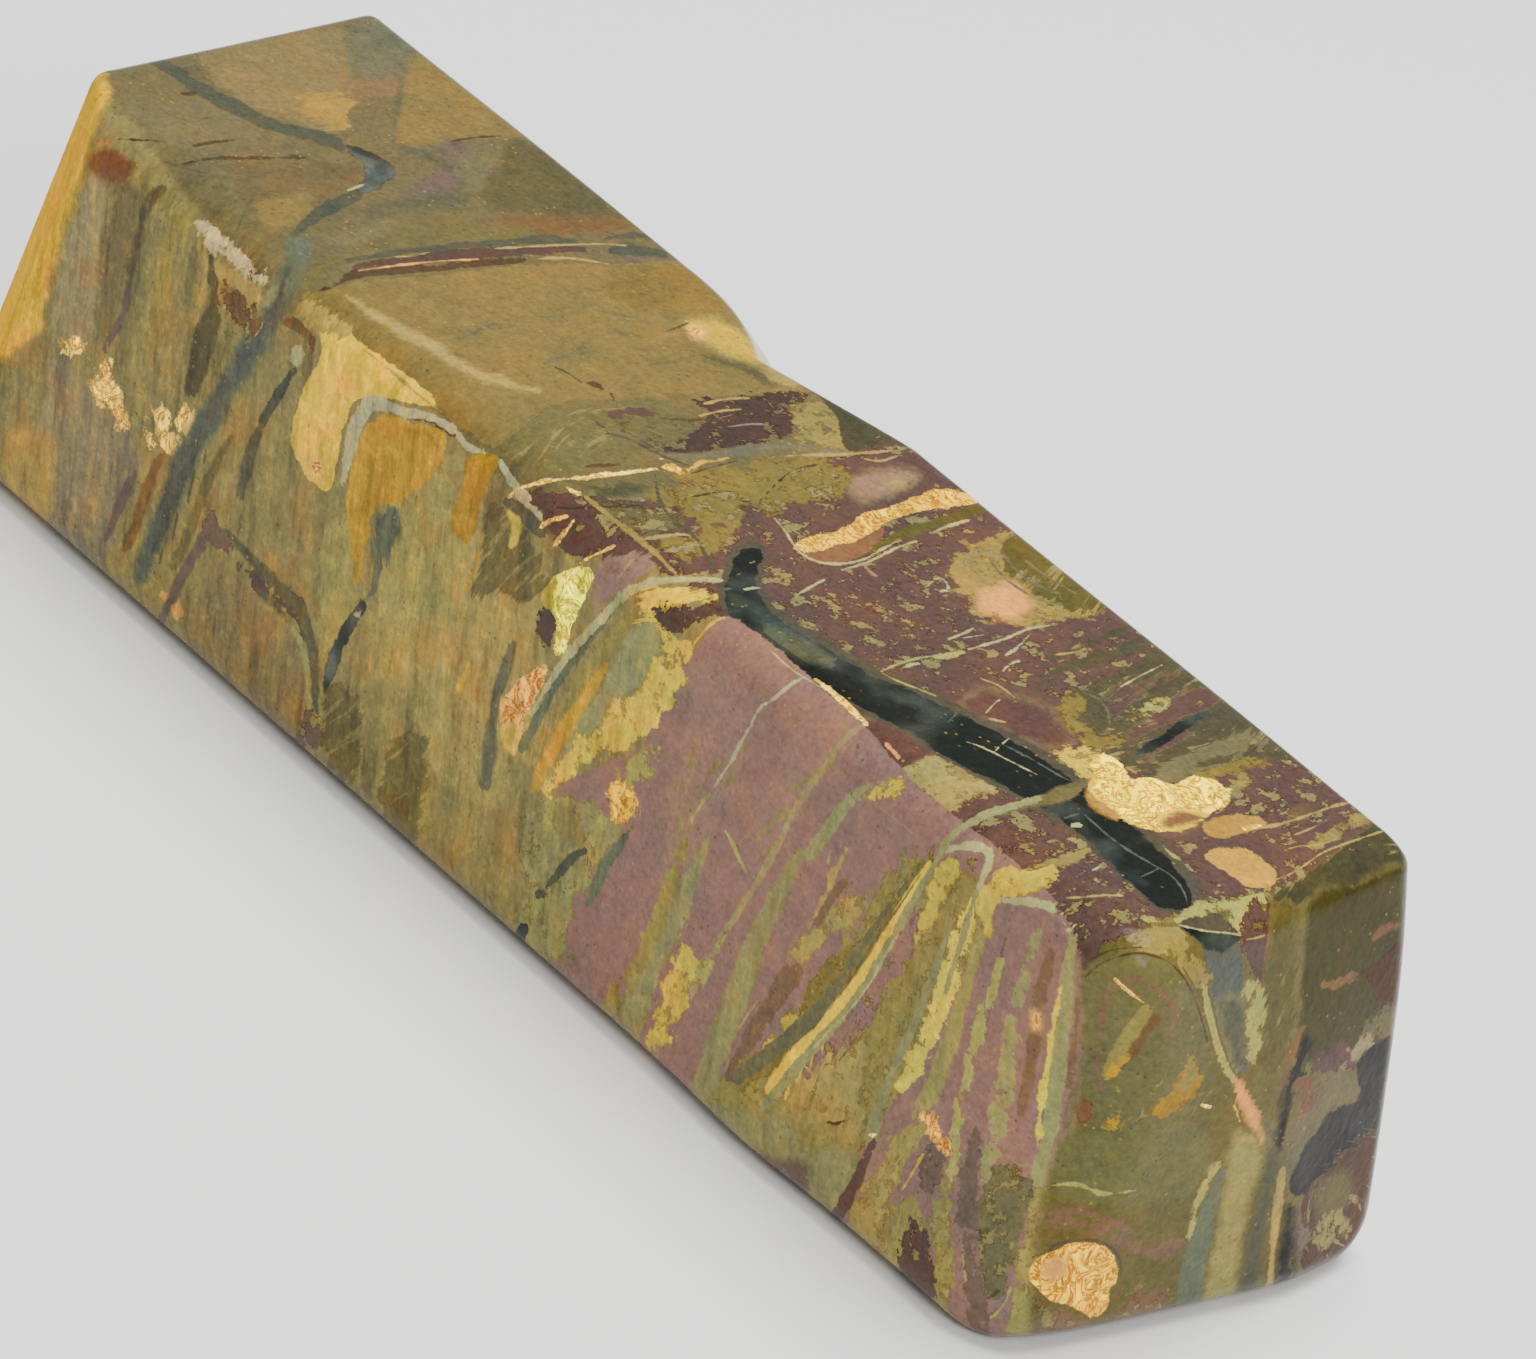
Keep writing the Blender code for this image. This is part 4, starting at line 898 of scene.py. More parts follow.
    ("second pale scratch", "pale tan", 1.6, (758,1000, 744,1020, 728,1045, 716,1068)),
    ("white rib line", "pale sage", 1.8, (902,928, 886,954, 868,986, 846,1014, 826,1034, 806,1056)),
    ("dark rib line", "olive shade", 1.4, (922,872, 898,908, 872,945, 848,984, 830,1004)),
    ("second dark rib line", "olive shade", 1.4, (918,862, 900,885, 884,905)),
    ("dark loop", "dark brown", 2, (824,1120, 834,1124, 846,1120)),
    ("dark side twig", "olive shade", 1.4, (862,1038, 850,1048, 838,1062)),
    ("bright dashes", "pale yellow", 1.8, (924,1152, 914,1170, 906,1184, 900,1192)),
    ("white crumb", "cream", 2.6, (868,1136, 876,1134)),
    ("brown rib line", "rust purple", 2, (1010,925, 1000,960, 992,1000, 984,1035)),
    ("pale hook", "pale olive", 2.4, (962,1246, 965,1276, 973,1300, 988,1318, 1004,1304, 1012,1284)),
    ("brown hook", "brown purple", 2, (968,1246, 972,1276, 984,1298, 1000,1290)),
    ("brown arc", "brown", 1.4, (1084,978, 1104,962, 1138,953, 1170,963, 1190,988, 1202,1020, 1210,1056)),
    ("second brown arc", "brown", 1.2, (1086,962, 1112,950, 1144,947)),
    ("rust arc", "rust tan", 1.4, (1182,966, 1196,990, 1206,1020, 1214,1050)),
    # Painted highlights: two cream strokes stand for the lamps' glints on the tip's rounded corner and near
    # its apex.
    ("painted highlight on the tip's corner", "cream", 2.4, (1114,978, 1126,989, 1134,996, 1144,1003)),
    ("painted highlight near the tip's apex", "cream", 3, (1200,1105, 1208,1107, 1213,1106)),
    ("speckled line", "pale olive", 2.4, (1048,1186, 1076,1184, 1104,1194, 1140,1190)),
    ("thin pale wave", "rust tan", 1.6, (1042,1232, 1070,1233, 1100,1240, 1118,1252)),
    ("dark outline of the nodule", "brown purple", 2, (1032,1258, 1050,1247, 1075,1240, 1102,1242,
     1118,1256, 1123,1280)),
    ("tan side line", "rust tan", 2, (1120,1262, 1124,1280, 1116,1300, 1122,1312)),
    ("yellow fleck by the vein", "pale yellow", 2.4, (1234,1105, 1238,1116, 1240,1122)),
    # Painted highlight: a pale tan dot stands for a small glint near the tip's apex.
    ("painted glint under the vein", "pale tan", 2.6, (1250,1136, 1256,1142)),
)

# Which way the banding runs at places on the photograph, as x, y and the angle of the bands in degrees.
BANDING = (
    (60, 250, -70), (150, 300, -72), (230, 400, -62), (160, 520, -66), (300, 560, -68), (400, 470, -66),
    (400, 620, -62), (500, 600, -60), (620, 660, -58), (560, 850, -55), (640, 950, -58), (740, 800, -52),
    (730, 980, -62), (830, 900, -58), (860, 1080, -66), (950, 1000, -70), (960, 1200, -84), (1050, 1050, -86),
    (1030, 1250, -92), (1100, 1250, 10), (1250, 1000, -88), (1220, 1250, -78), (1340, 1000, -60),
    (1330, 1200, -40), (180, 80, 22), (320, 180, 24), (480, 120, 8), (450, 258, -4), (640, 250, -2),
    (420, 340, 30), (560, 340, 8), (700, 330, 30), (600, 450, -8), (760, 430, -4), (700, 500, 20),
    (900, 480, 8), (850, 540, -20), (800, 640, 42), (900, 620, 30), (1000, 740, 34), (1000, 580, 30),
    (1050, 680, -30), (1180, 690, -28), (1150, 860, 38), (1230, 790, -20), (1350, 840, -30), (960, 850, -60),
)
BANDING_REACH = 90
BANDING_STIFFNESS = 0.3

# The hidden faces carry the same bands, seen through the stone, and bent the more the deeper they lie.
DEEPEST = 0.08
DEPTH_STEPS = 18
TOUCH = 1e-6
BEND_DEPTH = 0.02
BEND_PIXELS = 45
BEND_LENGTH = 0.011
BEND_WAVES = (((1.0, 0.7, 0.9), 1.3, (0.3, -0.8, 0.5)), ((0.6, -1.0, 0.8), 0.4, (-0.7, 0.2, 0.6)))


def seen_pixels(points):
    """Where the points stand on the photograph."""
    offset = points - eye
    scale = FOCAL_PIXELS / (offset @ -backward)
    return np.stack((PICTURE[0] / 2 + scale * (offset @ right), PICTURE[1] / 2 + scale * (offset @ down)), 1)


def depth_behind_surface(points, centre):
    """How much stone lies between the points and the camera."""
    toward = (eye - points) / np.linalg.norm(eye - points, axis=1)[:, None]
    low, high = np.zeros(len(points)), np.full(len(points), DEEPEST)
    for _ in range(DEPTH_STEPS):
        middle = (low + high) / 2
        within = outside(points + centre + toward * middle[:, None]) < -TOUCH
        low, high = np.where(within, middle, low), np.where(within, high, middle)
    return low


# How finely a path is curved. All other lengths below are in pixels of the photograph.
CURVE_STEPS = 4


def smooth_path(numbers, closed):
    """A smooth curve through a path's points."""
    points = np.array(numbers, float).reshape(-1, 2)
    if closed:
        points = np.concatenate((points[-1:], points, points[:2]))
    else:
        points = np.concatenate((2 * points[:1] - points[1:2], points, 2 * points[-1:] - points[-2:-1]))
    before, start, end, after = points[:-3], points[1:-2], points[2:-1], points[3:]
    t = (np.arange(CURVE_STEPS) / CURVE_STEPS)[None, :, None]
    before, start, end, after = (corner[:, None, :] for corner in (before, start, end, after))
    curve = start + t * (end - before) / 2 + t**2 * (before - 2.5 * start + 2 * end - after / 2)
    curve = curve + t**3 * (1.5 * (start - end) + (after - before) / 2)
    return np.concatenate((curve.reshape(-1, 2), points[-2:-1]))


def beside_path(spots, path):
    """For each spot its distance, side, run along the path, run past an end, and whether it is inside."""
    nearest = np.full(len(spots), np.inf)
    side, along, past = np.zeros(len(spots)), np.zeros(len(spots)), np.zeros(len(spots))
    inside = np.zeros(len(spots), bool)
    last = len(path) - 2
    for number, (start, end) in enumerate(zip(path[:-1], path[1:])):
        step, offset = end - start, spots - start
        length = max(math.hypot(*step), TOUCH)
        run = offset @ step / length
        across = (offset[:, 1] * step[0] - offset[:, 0] * step[1]) / length
        spare = run - np.clip(run, 0, length)
        distance = np.hypot(across, spare)
        closer = distance < nearest
        nearest = np.where(closer, distance, nearest)
        over_end = (number == 0) * np.maximum(-run, 0) + (number == last) * np.maximum(run - length, 0)
        past = np.where(closer, over_end, past)
        side = np.where(closer, np.where(over_end > 0, across, np.copysign(distance, across)), side)
        along = np.where(closer, (number + np.clip(run / length, 0, 1)) / (last + 1), along)
        crosses = (start[1] > spots[:, 1]) != (end[1] > spots[:, 1])
        if step[1]:
            inside ^= crosses & (offset[:, 0] < step[0] * offset[:, 1] / step[1])
    return nearest, side, along, past, inside


# The brightness that the camera's film shows for each share of light given back, and how much less of it
# the stone itself gives back.
SEEN = (0, 0.075, 0.165, 0.251, 0.341, 0.463, 0.569, 0.663, 0.737, 0.769, 0.824, 1)
LIGHT_GIVEN_BACK = (0, 0.010, 0.030, 0.060, 0.100, 0.180, 0.300, 0.500, 0.800, 1.000, 1.500, 3.0)
LIGHT_SHARE = 0.55


def mineral_colour(name):
    """The share of light that a mineral gives back in red, green and blue."""
    seen = np.array(MINERALS[name]) / 255
    return LIGHT_SHARE * np.interp(seen, SEEN, LIGHT_GIVEN_BACK)


spots = seen_pixels(skin_points)
depth = depth_behind_surface(skin_points, np.append(middle_of_box, 0))
bend = BEND_PIXELS * np.minimum(depth / BEND_DEPTH, 1)
wander = skin_points / BEND_LENGTH
for axis, (first_turns, start, second_turns) in enumerate(BEND_WAVES):
    spots[:, axis] += bend * np.sin(wander @ first_turns + start) * np.cos(wander @ second_turns)

# How far past its outline a marking is kept for its ragged edge, and where one is out of reach.
MARGIN = 45
CLEARANCE = 11
NO_MARKING = -60
# A band narrower than this is thin. Its reach falls fast past its sides, and any band's falls past its ends.
WIDE_BAND = 7
SIDE_ROOM, SIDE_FALL = 6, 3
END_FALL = 2
# A narrow band has a tighter edge, by shares of its half-width.
SOFT_SHARE, WANDER_SHARE = 0.8, 1.6
THREAD_TAPER = (0.4, 0.7, 0.7, 0.4)
# An edge that wanders further than this is torn. Less lies hidden under a marking whose edge is torn.
TORN_WANDER = 5
HIDDEN_UNDER = 9
TORN_HIDES = 14


def drawn_marking(mineral, edge, widths, numbers):
    """One marking as it reaches over the skin's points, with its edge."""
    wander_px, soft, drawn = EDGES[edge]
    path = smooth_path(numbers, closed=not len(widths))
    box_low, box_high = path.min(axis=0) - MARGIN, path.max(axis=0) + MARGIN
    near = np.flatnonzero(((spots > box_low) & (spots < box_high)).all(axis=1))
    distance, side, along, past, inside = beside_path(spots[near], path)
    thin = len(widths) > 0 and min(widths) < WIDE_BAND
    if len(widths):
        half = np.interp(along, np.linspace(0, 1, len(widths)), widths)
        reach = half - END_FALL * past
        widest = max(widths)
        soft, wander_px = min(soft, SOFT_SHARE * widest), min(wander_px, WANDER_SHARE * widest)
        drawn = min(drawn, widest)
    else:
        reach = np.where(inside, distance, -distance)
    if thin:
        reach = reach - SIDE_FALL * np.maximum(np.abs(side) - half - SIDE_ROOM, 0)
    elif len(widths):
        reach = reach - np.abs(side)
    side = side if thin else np.zeros(len(near))
    within = reach - np.abs(side)
    kept = within > -(CLEARANCE if thin else max(CLEARANCE, soft))
    shape = {"thin": thin, "colour": mineral_colour(mineral), "at": near[kept], "side": side[kept]}
    shape["reach"], shape["within"] = reach[kept], within[kept]
    shape["edge"] = np.tile((wander_px, soft, drawn), (kept.sum(), 1))
    shape["soft"], shape["torn"] = soft, wander_px > TORN_WANDER
    return shape


shapes = [drawn_marking(*marking[1:]) for marking in MARKINGS]
for _, mineral, half_width, numbers in THREADS:
    tapered = tuple(share * half_width for share in THREAD_TAPER)
    shapes.append(drawn_marking(mineral, "thread", tapered, numbers))

# A marking is dropped where later ones hide it.
covered = np.full(len(spots), float(NO_MARKING))
for shape in reversed(shapes):
    seen = covered[shape["at"]] < HIDDEN_UNDER
    under = shape["at"], shape["within"] - shape["soft"] - (TORN_HIDES if shape["torn"] else 0)
    for part in ("at", "side", "reach", "within", "edge"):
        shape[part] = shape[part][seen]
    if not shape["thin"]:
        np.maximum.at(covered, *under)

# Markings that come near each other go into different layers, with the thin ones in layers above the rest.
patch_layers, thin_layers = [], []
for shape in shapes:
    group = thin_layers if shape["thin"] else patch_layers
    level = 0
    while level < len(group) and group[level][shape["at"]].any():
        level += 1
    if level == len(group):
        group.append(np.zeros(len(spots), bool))
    group[level][shape["at"]] = True
    shape["level"] = level
for shape in shapes:
    shape["level"] += len(patch_layers) if shape["thin"] else 0

# A marking in a higher layer is cut out where a later one in a lower layer belongs on top of it.
for number, shape in enumerate(shapes):
    if not len(shape["at"]):
        continue
    for later in shapes[number + 1:]:
        if later["thin"] or later["level"] > shape["level"] or not len(later["at"]):
            continue
        if later["at"][0] > shape["at"][-1] or later["at"][-1] < shape["at"][0]:
            continue
        _, mine, theirs = np.intersect1d(shape["at"], later["at"], assume_unique=True, return_indices=True)
        if not len(mine):
            continue
        cut = -later["within"][theirs]
        cuts = cut < shape["reach"][mine]
        shape["reach"][mine[cuts]] = cut[cuts]
        shape["edge"][mine[cuts]] = later["edge"][theirs[cuts]] * (-1, 1, -1)

ground_colour = mineral_colour("olive drab")
layers = []
for level in range(len(patch_layers) + len(thin_layers)):
    fill = np.tile((*ground_colour, 0.0), (len(spots), 1))
    edge = np.tile((NO_MARKING, 1.0, 1.0, 0.0), (len(spots), 1)).astype(float)
    for shape in shapes:
        if shape["level"] == level:
            fill[shape["at"], :3] = shape["colour"]
            fill[shape["at"], 3] = shape["side"]
            edge[shape["at"], 0] = shape["reach"]
            edge[shape["at"], 1:] = shape["edge"]
    layers.append({"fill": fill, "edge": edge})

# How strongly streaks comb the stone: little on the top, most on the far half of the front face.
COMBED_TOP = 0.2
COMBED_FRONT = (0, 560, 760, 1536), (0.8, 0.8, 0.35, 0.2)
FACE_SKIN = 0.0015


def flow_across(spots):
    """A number that grows evenly across the banding, fitted to the directions in BANDING."""
    places, angles = np.array(BANDING)[:, :2], np.radians(np.array(BANDING)[:, 2])
    along = np.stack((np.cos(angles), np.sin(angles)), 1)
    across = np.stack((-along[:, 1], along[:, 0]), 1)

    def slopes(at):
        gap = at[:, None, :] - places[None]
        return -2 * gap / BANDING_REACH**2 * np.exp(-(gap**2).sum(axis=2) / BANDING_REACH**2)[..., None]

    level_slopes = np.tile(np.eye(2)[None] / BANDING_REACH, (len(places), 1, 1))
    gradient = np.concatenate((slopes(places), level_slopes), 1)
    system = np.concatenate((
        np.einsum("pkc,pc->pk", gradient, along), np.einsum("pkc,pc->pk", gradient, across),
        BANDING_STIFFNESS / BANDING_REACH * np.eye(len(places) + 2),
    ))
    wanted = np.concatenate((np.zeros(len(places)), np.ones(len(places)), np.zeros(len(places) + 2)))
    weights = np.linalg.lstsq(system, wanted, rcond=None)[0]
    gap = spots[:, None, :] - places[None]
    humps = np.exp(-(gap**2).sum(axis=2) / BANDING_REACH**2)
    return humps @ weights[:-2] + spots @ weights[-2:] / BANDING_REACH


def keep_attribute(name, kind, values):
    """Stores numbers on the skin's points for the material to read."""
    attribute = mesh.attributes.new(name, kind, "POINT")
    numbers = np.ascontiguousarray(values, np.float32).ravel()
    attribute.data.foreach_set("color" if kind == "FLOAT_COLOR" else "value", numbers)


keep_attribute("banding", "FLOAT", flow_across(spots))
on_front = np.clip(1 + over(skin, "front") / FACE_SKIN, 0, 1)
keep_attribute("combing", "FLOAT", COMBED_TOP + on_front * np.interp(spots[:, 0], *COMBED_FRONT))
keep_attribute("far_corner", "FLOAT", np.clip(1 + over(skin, "far_corner") / FACE_SKIN, 0, 1))
for number, layer in enumerate(layers):
    keep_attribute(f"fill_{number}", "FLOAT_COLOR", layer["fill"])
    keep_attribute(f"edge_{number}", "FLOAT_COLOR", layer["edge"])


def put(tree, kind, inputs=(), **settings):
    """Adds a node, with its settings, and its inputs set to numbers or linked to other nodes."""
    node = tree.nodes.new(kind)
    for name, value in settings.items():
        setattr(node, name, value)
    for socket, value in dict(inputs).items():
        if isinstance(value, bpy.types.NodeSocket):
            tree.links.new(value, node.inputs[socket])
        else:
            node.inputs[socket].default_value = value
    return node


def sum_up(tree, operation, *values, **settings):
    """A Math node's result."""
    return put(tree, "ShaderNodeMath", dict(enumerate(values)), operation=operation, **settings).outputs[0]


def ramp(tree, value, start, end, most=1.0, least=0.0):
    """A smooth step from one level of a value to another."""
    return put(tree, "ShaderNodeMapRange", {
        "Value": value, "From Min": start, "From Max": end, "To Min": least, "To Max": most,
    }, interpolation_type="SMOOTHSTEP", clamp=False).outputs["Result"]


def mixed(tree, amount, under, upper, **settings):
    """One colour mixed over another."""
    colours = {0: amount, 6: under, 7: upper}
    return put(tree, "ShaderNodeMix", colours, data_type="RGBA", **settings).outputs[2]


def new_group(name, inputs, outputs):
    """An empty shader group with named sockets, and its two end nodes."""
    tree = bpy.data.node_groups.new(name, "ShaderNodeTree")
    for way, sockets in (("INPUT", inputs), ("OUTPUT", outputs)):
        for socket, kind in sockets.items():
            tree.interface.new_socket(socket, in_out=way, socket_type="NodeSocket" + kind)
    return tree, tree.nodes.new("NodeGroupInput"), tree.nodes.new("NodeGroupOutput")


# One layer of markings over the colour below it, with an edge that wanders, blurs or breaks into streaks.
# Iron gathered along most of the torn borders, and left a broken brown rim just inside them. These lengths
# are pixels of the photograph too.
FULL_REACH = 2.5
SHARPEST_BLUR = 0.5
RIM_DEPTH = (3.6, 1.0)
RIM_WANDER = (5.5, 7.5)
RIM_SHADE = (0.5, 0.38, 0.3, 1)
laid_mineral, given, made = new_group(
    "laid_mineral",
    {
        "Below": "Color", "Mineral": "Color", "Side": "Float", "Reach": "Float", "Wander": "Float",
        "Softness": "Float", "Drawn Out": "Float", "Grain": "Float", "Streaks": "Float", "Iron": "Float",
    },
    {"Color": "Color"},
)
aside = sum_up(laid_mineral, "ABSOLUTE", given.outputs["Side"])
level = sum_up(laid_mineral, "SUBTRACT", given.outputs["Reach"], aside)
ceiling = sum_up(laid_mineral, "ADD", given.outputs["Softness"], FULL_REACH)
level = sum_up(laid_mineral, "MINIMUM", level, ceiling)
level = sum_up(laid_mineral, "MULTIPLY_ADD", given.outputs["Grain"], given.outputs["Wander"], level)
level = sum_up(laid_mineral, "MULTIPLY_ADD", given.outputs["Streaks"], given.outputs["Drawn Out"], level)
blur = sum_up(laid_mineral, "MAXIMUM", given.outputs["Softness"], SHARPEST_BLUR)
cover = ramp(laid_mineral, level, sum_up(laid_mineral, "MULTIPLY", blur, -1), blur)
rim = ramp(laid_mineral, level, *RIM_DEPTH)
rim = sum_up(laid_mineral, "MULTIPLY", rim, ramp(laid_mineral, given.outputs["Wander"], *RIM_WANDER))
rim = sum_up(laid_mineral, "MULTIPLY", rim, given.outputs["Iron"])
rimmed = mixed(laid_mineral, rim, given.outputs["Mineral"], RIM_SHADE, blend_type="MULTIPLY")
laid = mixed(laid_mineral, cover, given.outputs["Below"], rimmed)
laid_mineral.links.new(laid, made.inputs["Color"])

jasper = bpy.data.materials.new("picture_jasper")
jasper.use_nodes = True
tree = jasper.node_tree
polish = tree.nodes["Principled BSDF"]
place = put(tree, "ShaderNodeTexCoord").outputs["Object"]
banding = put(tree, "ShaderNodeAttribute", attribute_name="banding").outputs["Fac"]

NOISE_LOW, NOISE_HIGH = 0.25, 0.75


def noise(scale, detail, vector, rough=0.6, distortion=0.0):
    """Noise that goes from about -1 to 1, with its scale in waves to the metre."""
    raw = put(tree, "ShaderNodeTexNoise", {
        "Vector": vector, "Scale": scale, "Detail": detail, "Roughness": rough, "Distortion": distortion,
    }).outputs["Fac"]
    return put(tree, "ShaderNodeMapRange", {
        "Value": raw, "From Min": NOISE_LOW, "From Max": NOISE_HIGH, "To Min": -1,
    }, clamp=False).outputs["Result"]


def along_bands(across_scale, place_scale):
    """Coordinates that change fast across the banding and slowly along it."""
    run = put(tree, "ShaderNodeCombineXYZ", {"X": sum_up(tree, "MULTIPLY", banding, across_scale)}).outputs[0]
    slow = put(tree, "ShaderNodeVectorMath", {0: place, 3: place_scale}, operation="SCALE").outputs[0]
    return put(tree, "ShaderNodeVectorMath", {0: run, 1: slow}, operation="ADD").outputs[0]


GRAIN_SCALE = 1000
RAGGED_SCALE = 620
DRAWN_SCALES = (0.12, 200)
grain = noise(GRAIN_SCALE, 4, place, 0.68)
streaks = noise(1, 3, along_bands(*DRAWN_SCALES), 0.65)
ragged = noise(RAGGED_SCALE, 4, place, 0.72)
iron = ramp(tree, grain, -0.35, 0.25, 0.9)
for number in range(len(layers)):
    fill = put(tree, "ShaderNodeAttribute", attribute_name=f"fill_{number}")
    edge = put(tree, "ShaderNodeAttribute", attribute_name=f"edge_{number}")
    parts = put(tree, "ShaderNodeSeparateColor", {0: edge.outputs["Color"]})
    colour = put(tree, "ShaderNodeGroup", node_tree=laid_mineral)
    layer_sockets = {
        "Mineral": fill.outputs["Color"], "Reach": parts.outputs["Red"], "Wander": parts.outputs["Green"],
        "Softness": parts.outputs["Blue"], "Grain": ragged,
    }
    if number < len(patch_layers):
        layer_sockets.update({"Drawn Out": edge.outputs["Alpha"], "Streaks": streaks, "Iron": iron})
    else:
        layer_sockets["Side"] = fill.outputs["Alpha"]
    for socket, value in layer_sockets.items():
        tree.links.new(value, colour.inputs[socket])
    if number == 0:
        colour.inputs["Below"].default_value = (*ground_colour, 1)
    else:
        tree.links.new(below, colour.inputs["Below"])
    below = colour.outputs["Color"]

# The streaks run down the front face, leaning a little, and are much longer than they are wide.
STREAK_SQUEEZE = (1.0, 0.3, 0.19)
STREAK_LEAN = 0.22
BROAD_STREAK_SCALE, FINE_STREAK_SCALE = 620, 1900
CLOUD_SCALE = 230
FINE_GRAIN_SCALE = 2600

# The mottling is clouds a few millimetres wide, fine grain, and ochre and dark streaks in the green parts.
clouds = noise(CLOUD_SCALE, 2, place)
drop = put(tree, "ShaderNodeVectorMath", {0: place, 1: STREAK_SQUEEZE}, operation="MULTIPLY").outputs[0]
lean = sum_up(tree, "MULTIPLY", put(tree, "ShaderNodeSeparateXYZ", {0: place}).outputs["Z"], STREAK_LEAN)
drop = put(tree, "ShaderNodeVectorMath", {
    0: drop, 1: put(tree, "ShaderNodeCombineXYZ", {"X": lean}).outputs[0],
}, operation="ADD").outputs[0]
broad_streaks = noise(BROAD_STREAK_SCALE, 3, drop, 0.64)
fine_streaks = noise(FINE_STREAK_SCALE, 2, drop)
fine_grain = noise(FINE_GRAIN_SCALE, 2, place, 0.7)
combing = put(tree, "ShaderNodeAttribute", attribute_name="combing").outputs["Fac"]
shades = put(tree, "ShaderNodeSeparateColor", {0: below})
yellowness = sum_up(tree, "SUBTRACT", shades.outputs["Green"], shades.outputs["Blue"])
yellowness = sum_up(tree, "DIVIDE", yellowness, shades.outputs["Red"])
combing = sum_up(tree, "MULTIPLY", combing, ramp(tree, yellowness, 0.15, 0.4, 1, 0.12))

# Each streak's noise, the levels between which it comes in, its strength at most, and its shade.
combed = below
for source, start, end, most, shade in (
    (broad_streaks, 0.05, 0.7, 0.8, (1.5, 1.38, 0.8)), (broad_streaks, -0.05, -0.7, 0.8, (0.55, 0.58, 0.66)),
    (fine_streaks, 0.2, 0.6, 0.45, (1.4, 1.3, 0.95)), (fine_streaks, -0.2, -0.6, 0.45, (0.65, 0.55, 0.48)),
    (grain, 0.2, 0.5, 0.6, (1.35, 1.3, 0.9)), (clouds, 0.1, 0.5, 0.6, (0.95, 0.76, 0.66)),
):
    streaked = sum_up(tree, "MULTIPLY", ramp(tree, source, start, end, most), combing)
    combed = mixed(tree, streaked, combed, (*shade, 1), blend_type="MULTIPLY")
CLOUD_BRIGHTNESS, GRAIN_BRIGHTNESS, FINE_BRIGHTNESS = 0.12, 0.17, 0.22
CLOUD_RED, CLOUD_BLUE = 0.12, -0.16
brightness = sum_up(tree, "MULTIPLY_ADD", clouds, CLOUD_BRIGHTNESS, 1.0)
brightness = sum_up(tree, "MULTIPLY_ADD", grain, GRAIN_BRIGHTNESS, brightness)
brightness = sum_up(tree, "MULTIPLY_ADD", fine_grain, FINE_BRIGHTNESS, brightness)
tint = put(tree, "ShaderNodeCombineXYZ", {
    "X": sum_up(tree, "MULTIPLY_ADD", clouds, CLOUD_RED, 1.0), "Y": 1.0,
    "Z": sum_up(tree, "MULTIPLY_ADD", clouds, CLOUD_BLUE, 1.0),
}).outputs[0]
mottled = put(tree, "ShaderNodeVectorMath", {0: combed, 3: brightness}, operation="SCALE").outputs[0]
mottled = put(tree, "ShaderNodeVectorMath", {0: mottled, 1: tint}, operation="MULTIPLY").outputs[0]

# The bright nodules are crinkled inside, with amber in the creases and pale crests; the crests are painted
# brighter still, as painted highlights on the nodules.
NODULE_RED = (0.74, 0.86)
CRINKLE_SCALE = 460
CREASE_SHADE = (0.34, 0.2, 0.06, 1)
CREST_AND_HIGHLIGHT_TINT = (1.4, 1.5, 1.4, 1)
nodule = ramp(tree, shades.outputs["Red"], *NODULE_RED)
crinkles = noise(CRINKLE_SCALE, 3, place, 0.7, 2.2)
crease = ramp(tree, sum_up(tree, "ABSOLUTE", crinkles), 0.3, 0.0, 0.95)
crest_and_highlight = ramp(tree, crinkles, 0.15, 0.55, 0.8)
for crinkle, shade in ((crease, CREASE_SHADE), (crest_and_highlight, CREST_AND_HIGHLIGHT_TINT)):
    mottled = mixed(tree, sum_up(tree, "MULTIPLY", crinkle, nodule), mottled, shade, blend_type="MULTIPLY")

# The blue-black veins are clear like smoke, so greenish depths show here and there.
VEIN_RED = (0.04, 0.015)
SMOKE_SCALE = 170
SMOKE_SHADE = (5.0, 4.8, 4.8, 1)
vein = ramp(tree, shades.outputs["Red"], *VEIN_RED)
smoke = ramp(tree, noise(SMOKE_SCALE, 2, place), -0.2, 0.6, 0.8)
mottled = mixed(tree, sum_up(tree, "MULTIPLY", smoke, vein), mottled, SMOKE_SHADE, blend_type="MULTIPLY")

# Dark specks of iron, and pale flecks of quartz, in loose groups.
SPECK_SCALE, SPECK_GROUP_SCALE = 1500, 300
cells = put(tree, "ShaderNodeTexVoronoi", {"Vector": place, "Scale": SPECK_SCALE}).outputs["Distance"]
speck_groups = noise(SPECK_GROUP_SCALE, 2, place)
for cell_levels, group_levels, strength, mineral in (
    ((0.24, 0.1), (0.0, 0.5), 0.55, "dark brown"), ((0.22, 0.08), (-0.1, -0.6), 0.45, "pale yellow"),
):
    grouped = ramp(tree, speck_groups, *group_levels)
    spot = sum_up(tree, "MULTIPLY", ramp(tree, cells, *cell_levels), grouped)
    spot = sum_up(tree, "MULTIPLY", spot, strength)
    mottled = mixed(tree, spot, mottled, (*mineral_colour(mineral), 1))
tree.links.new(mottled, polish.inputs["Base Color"])

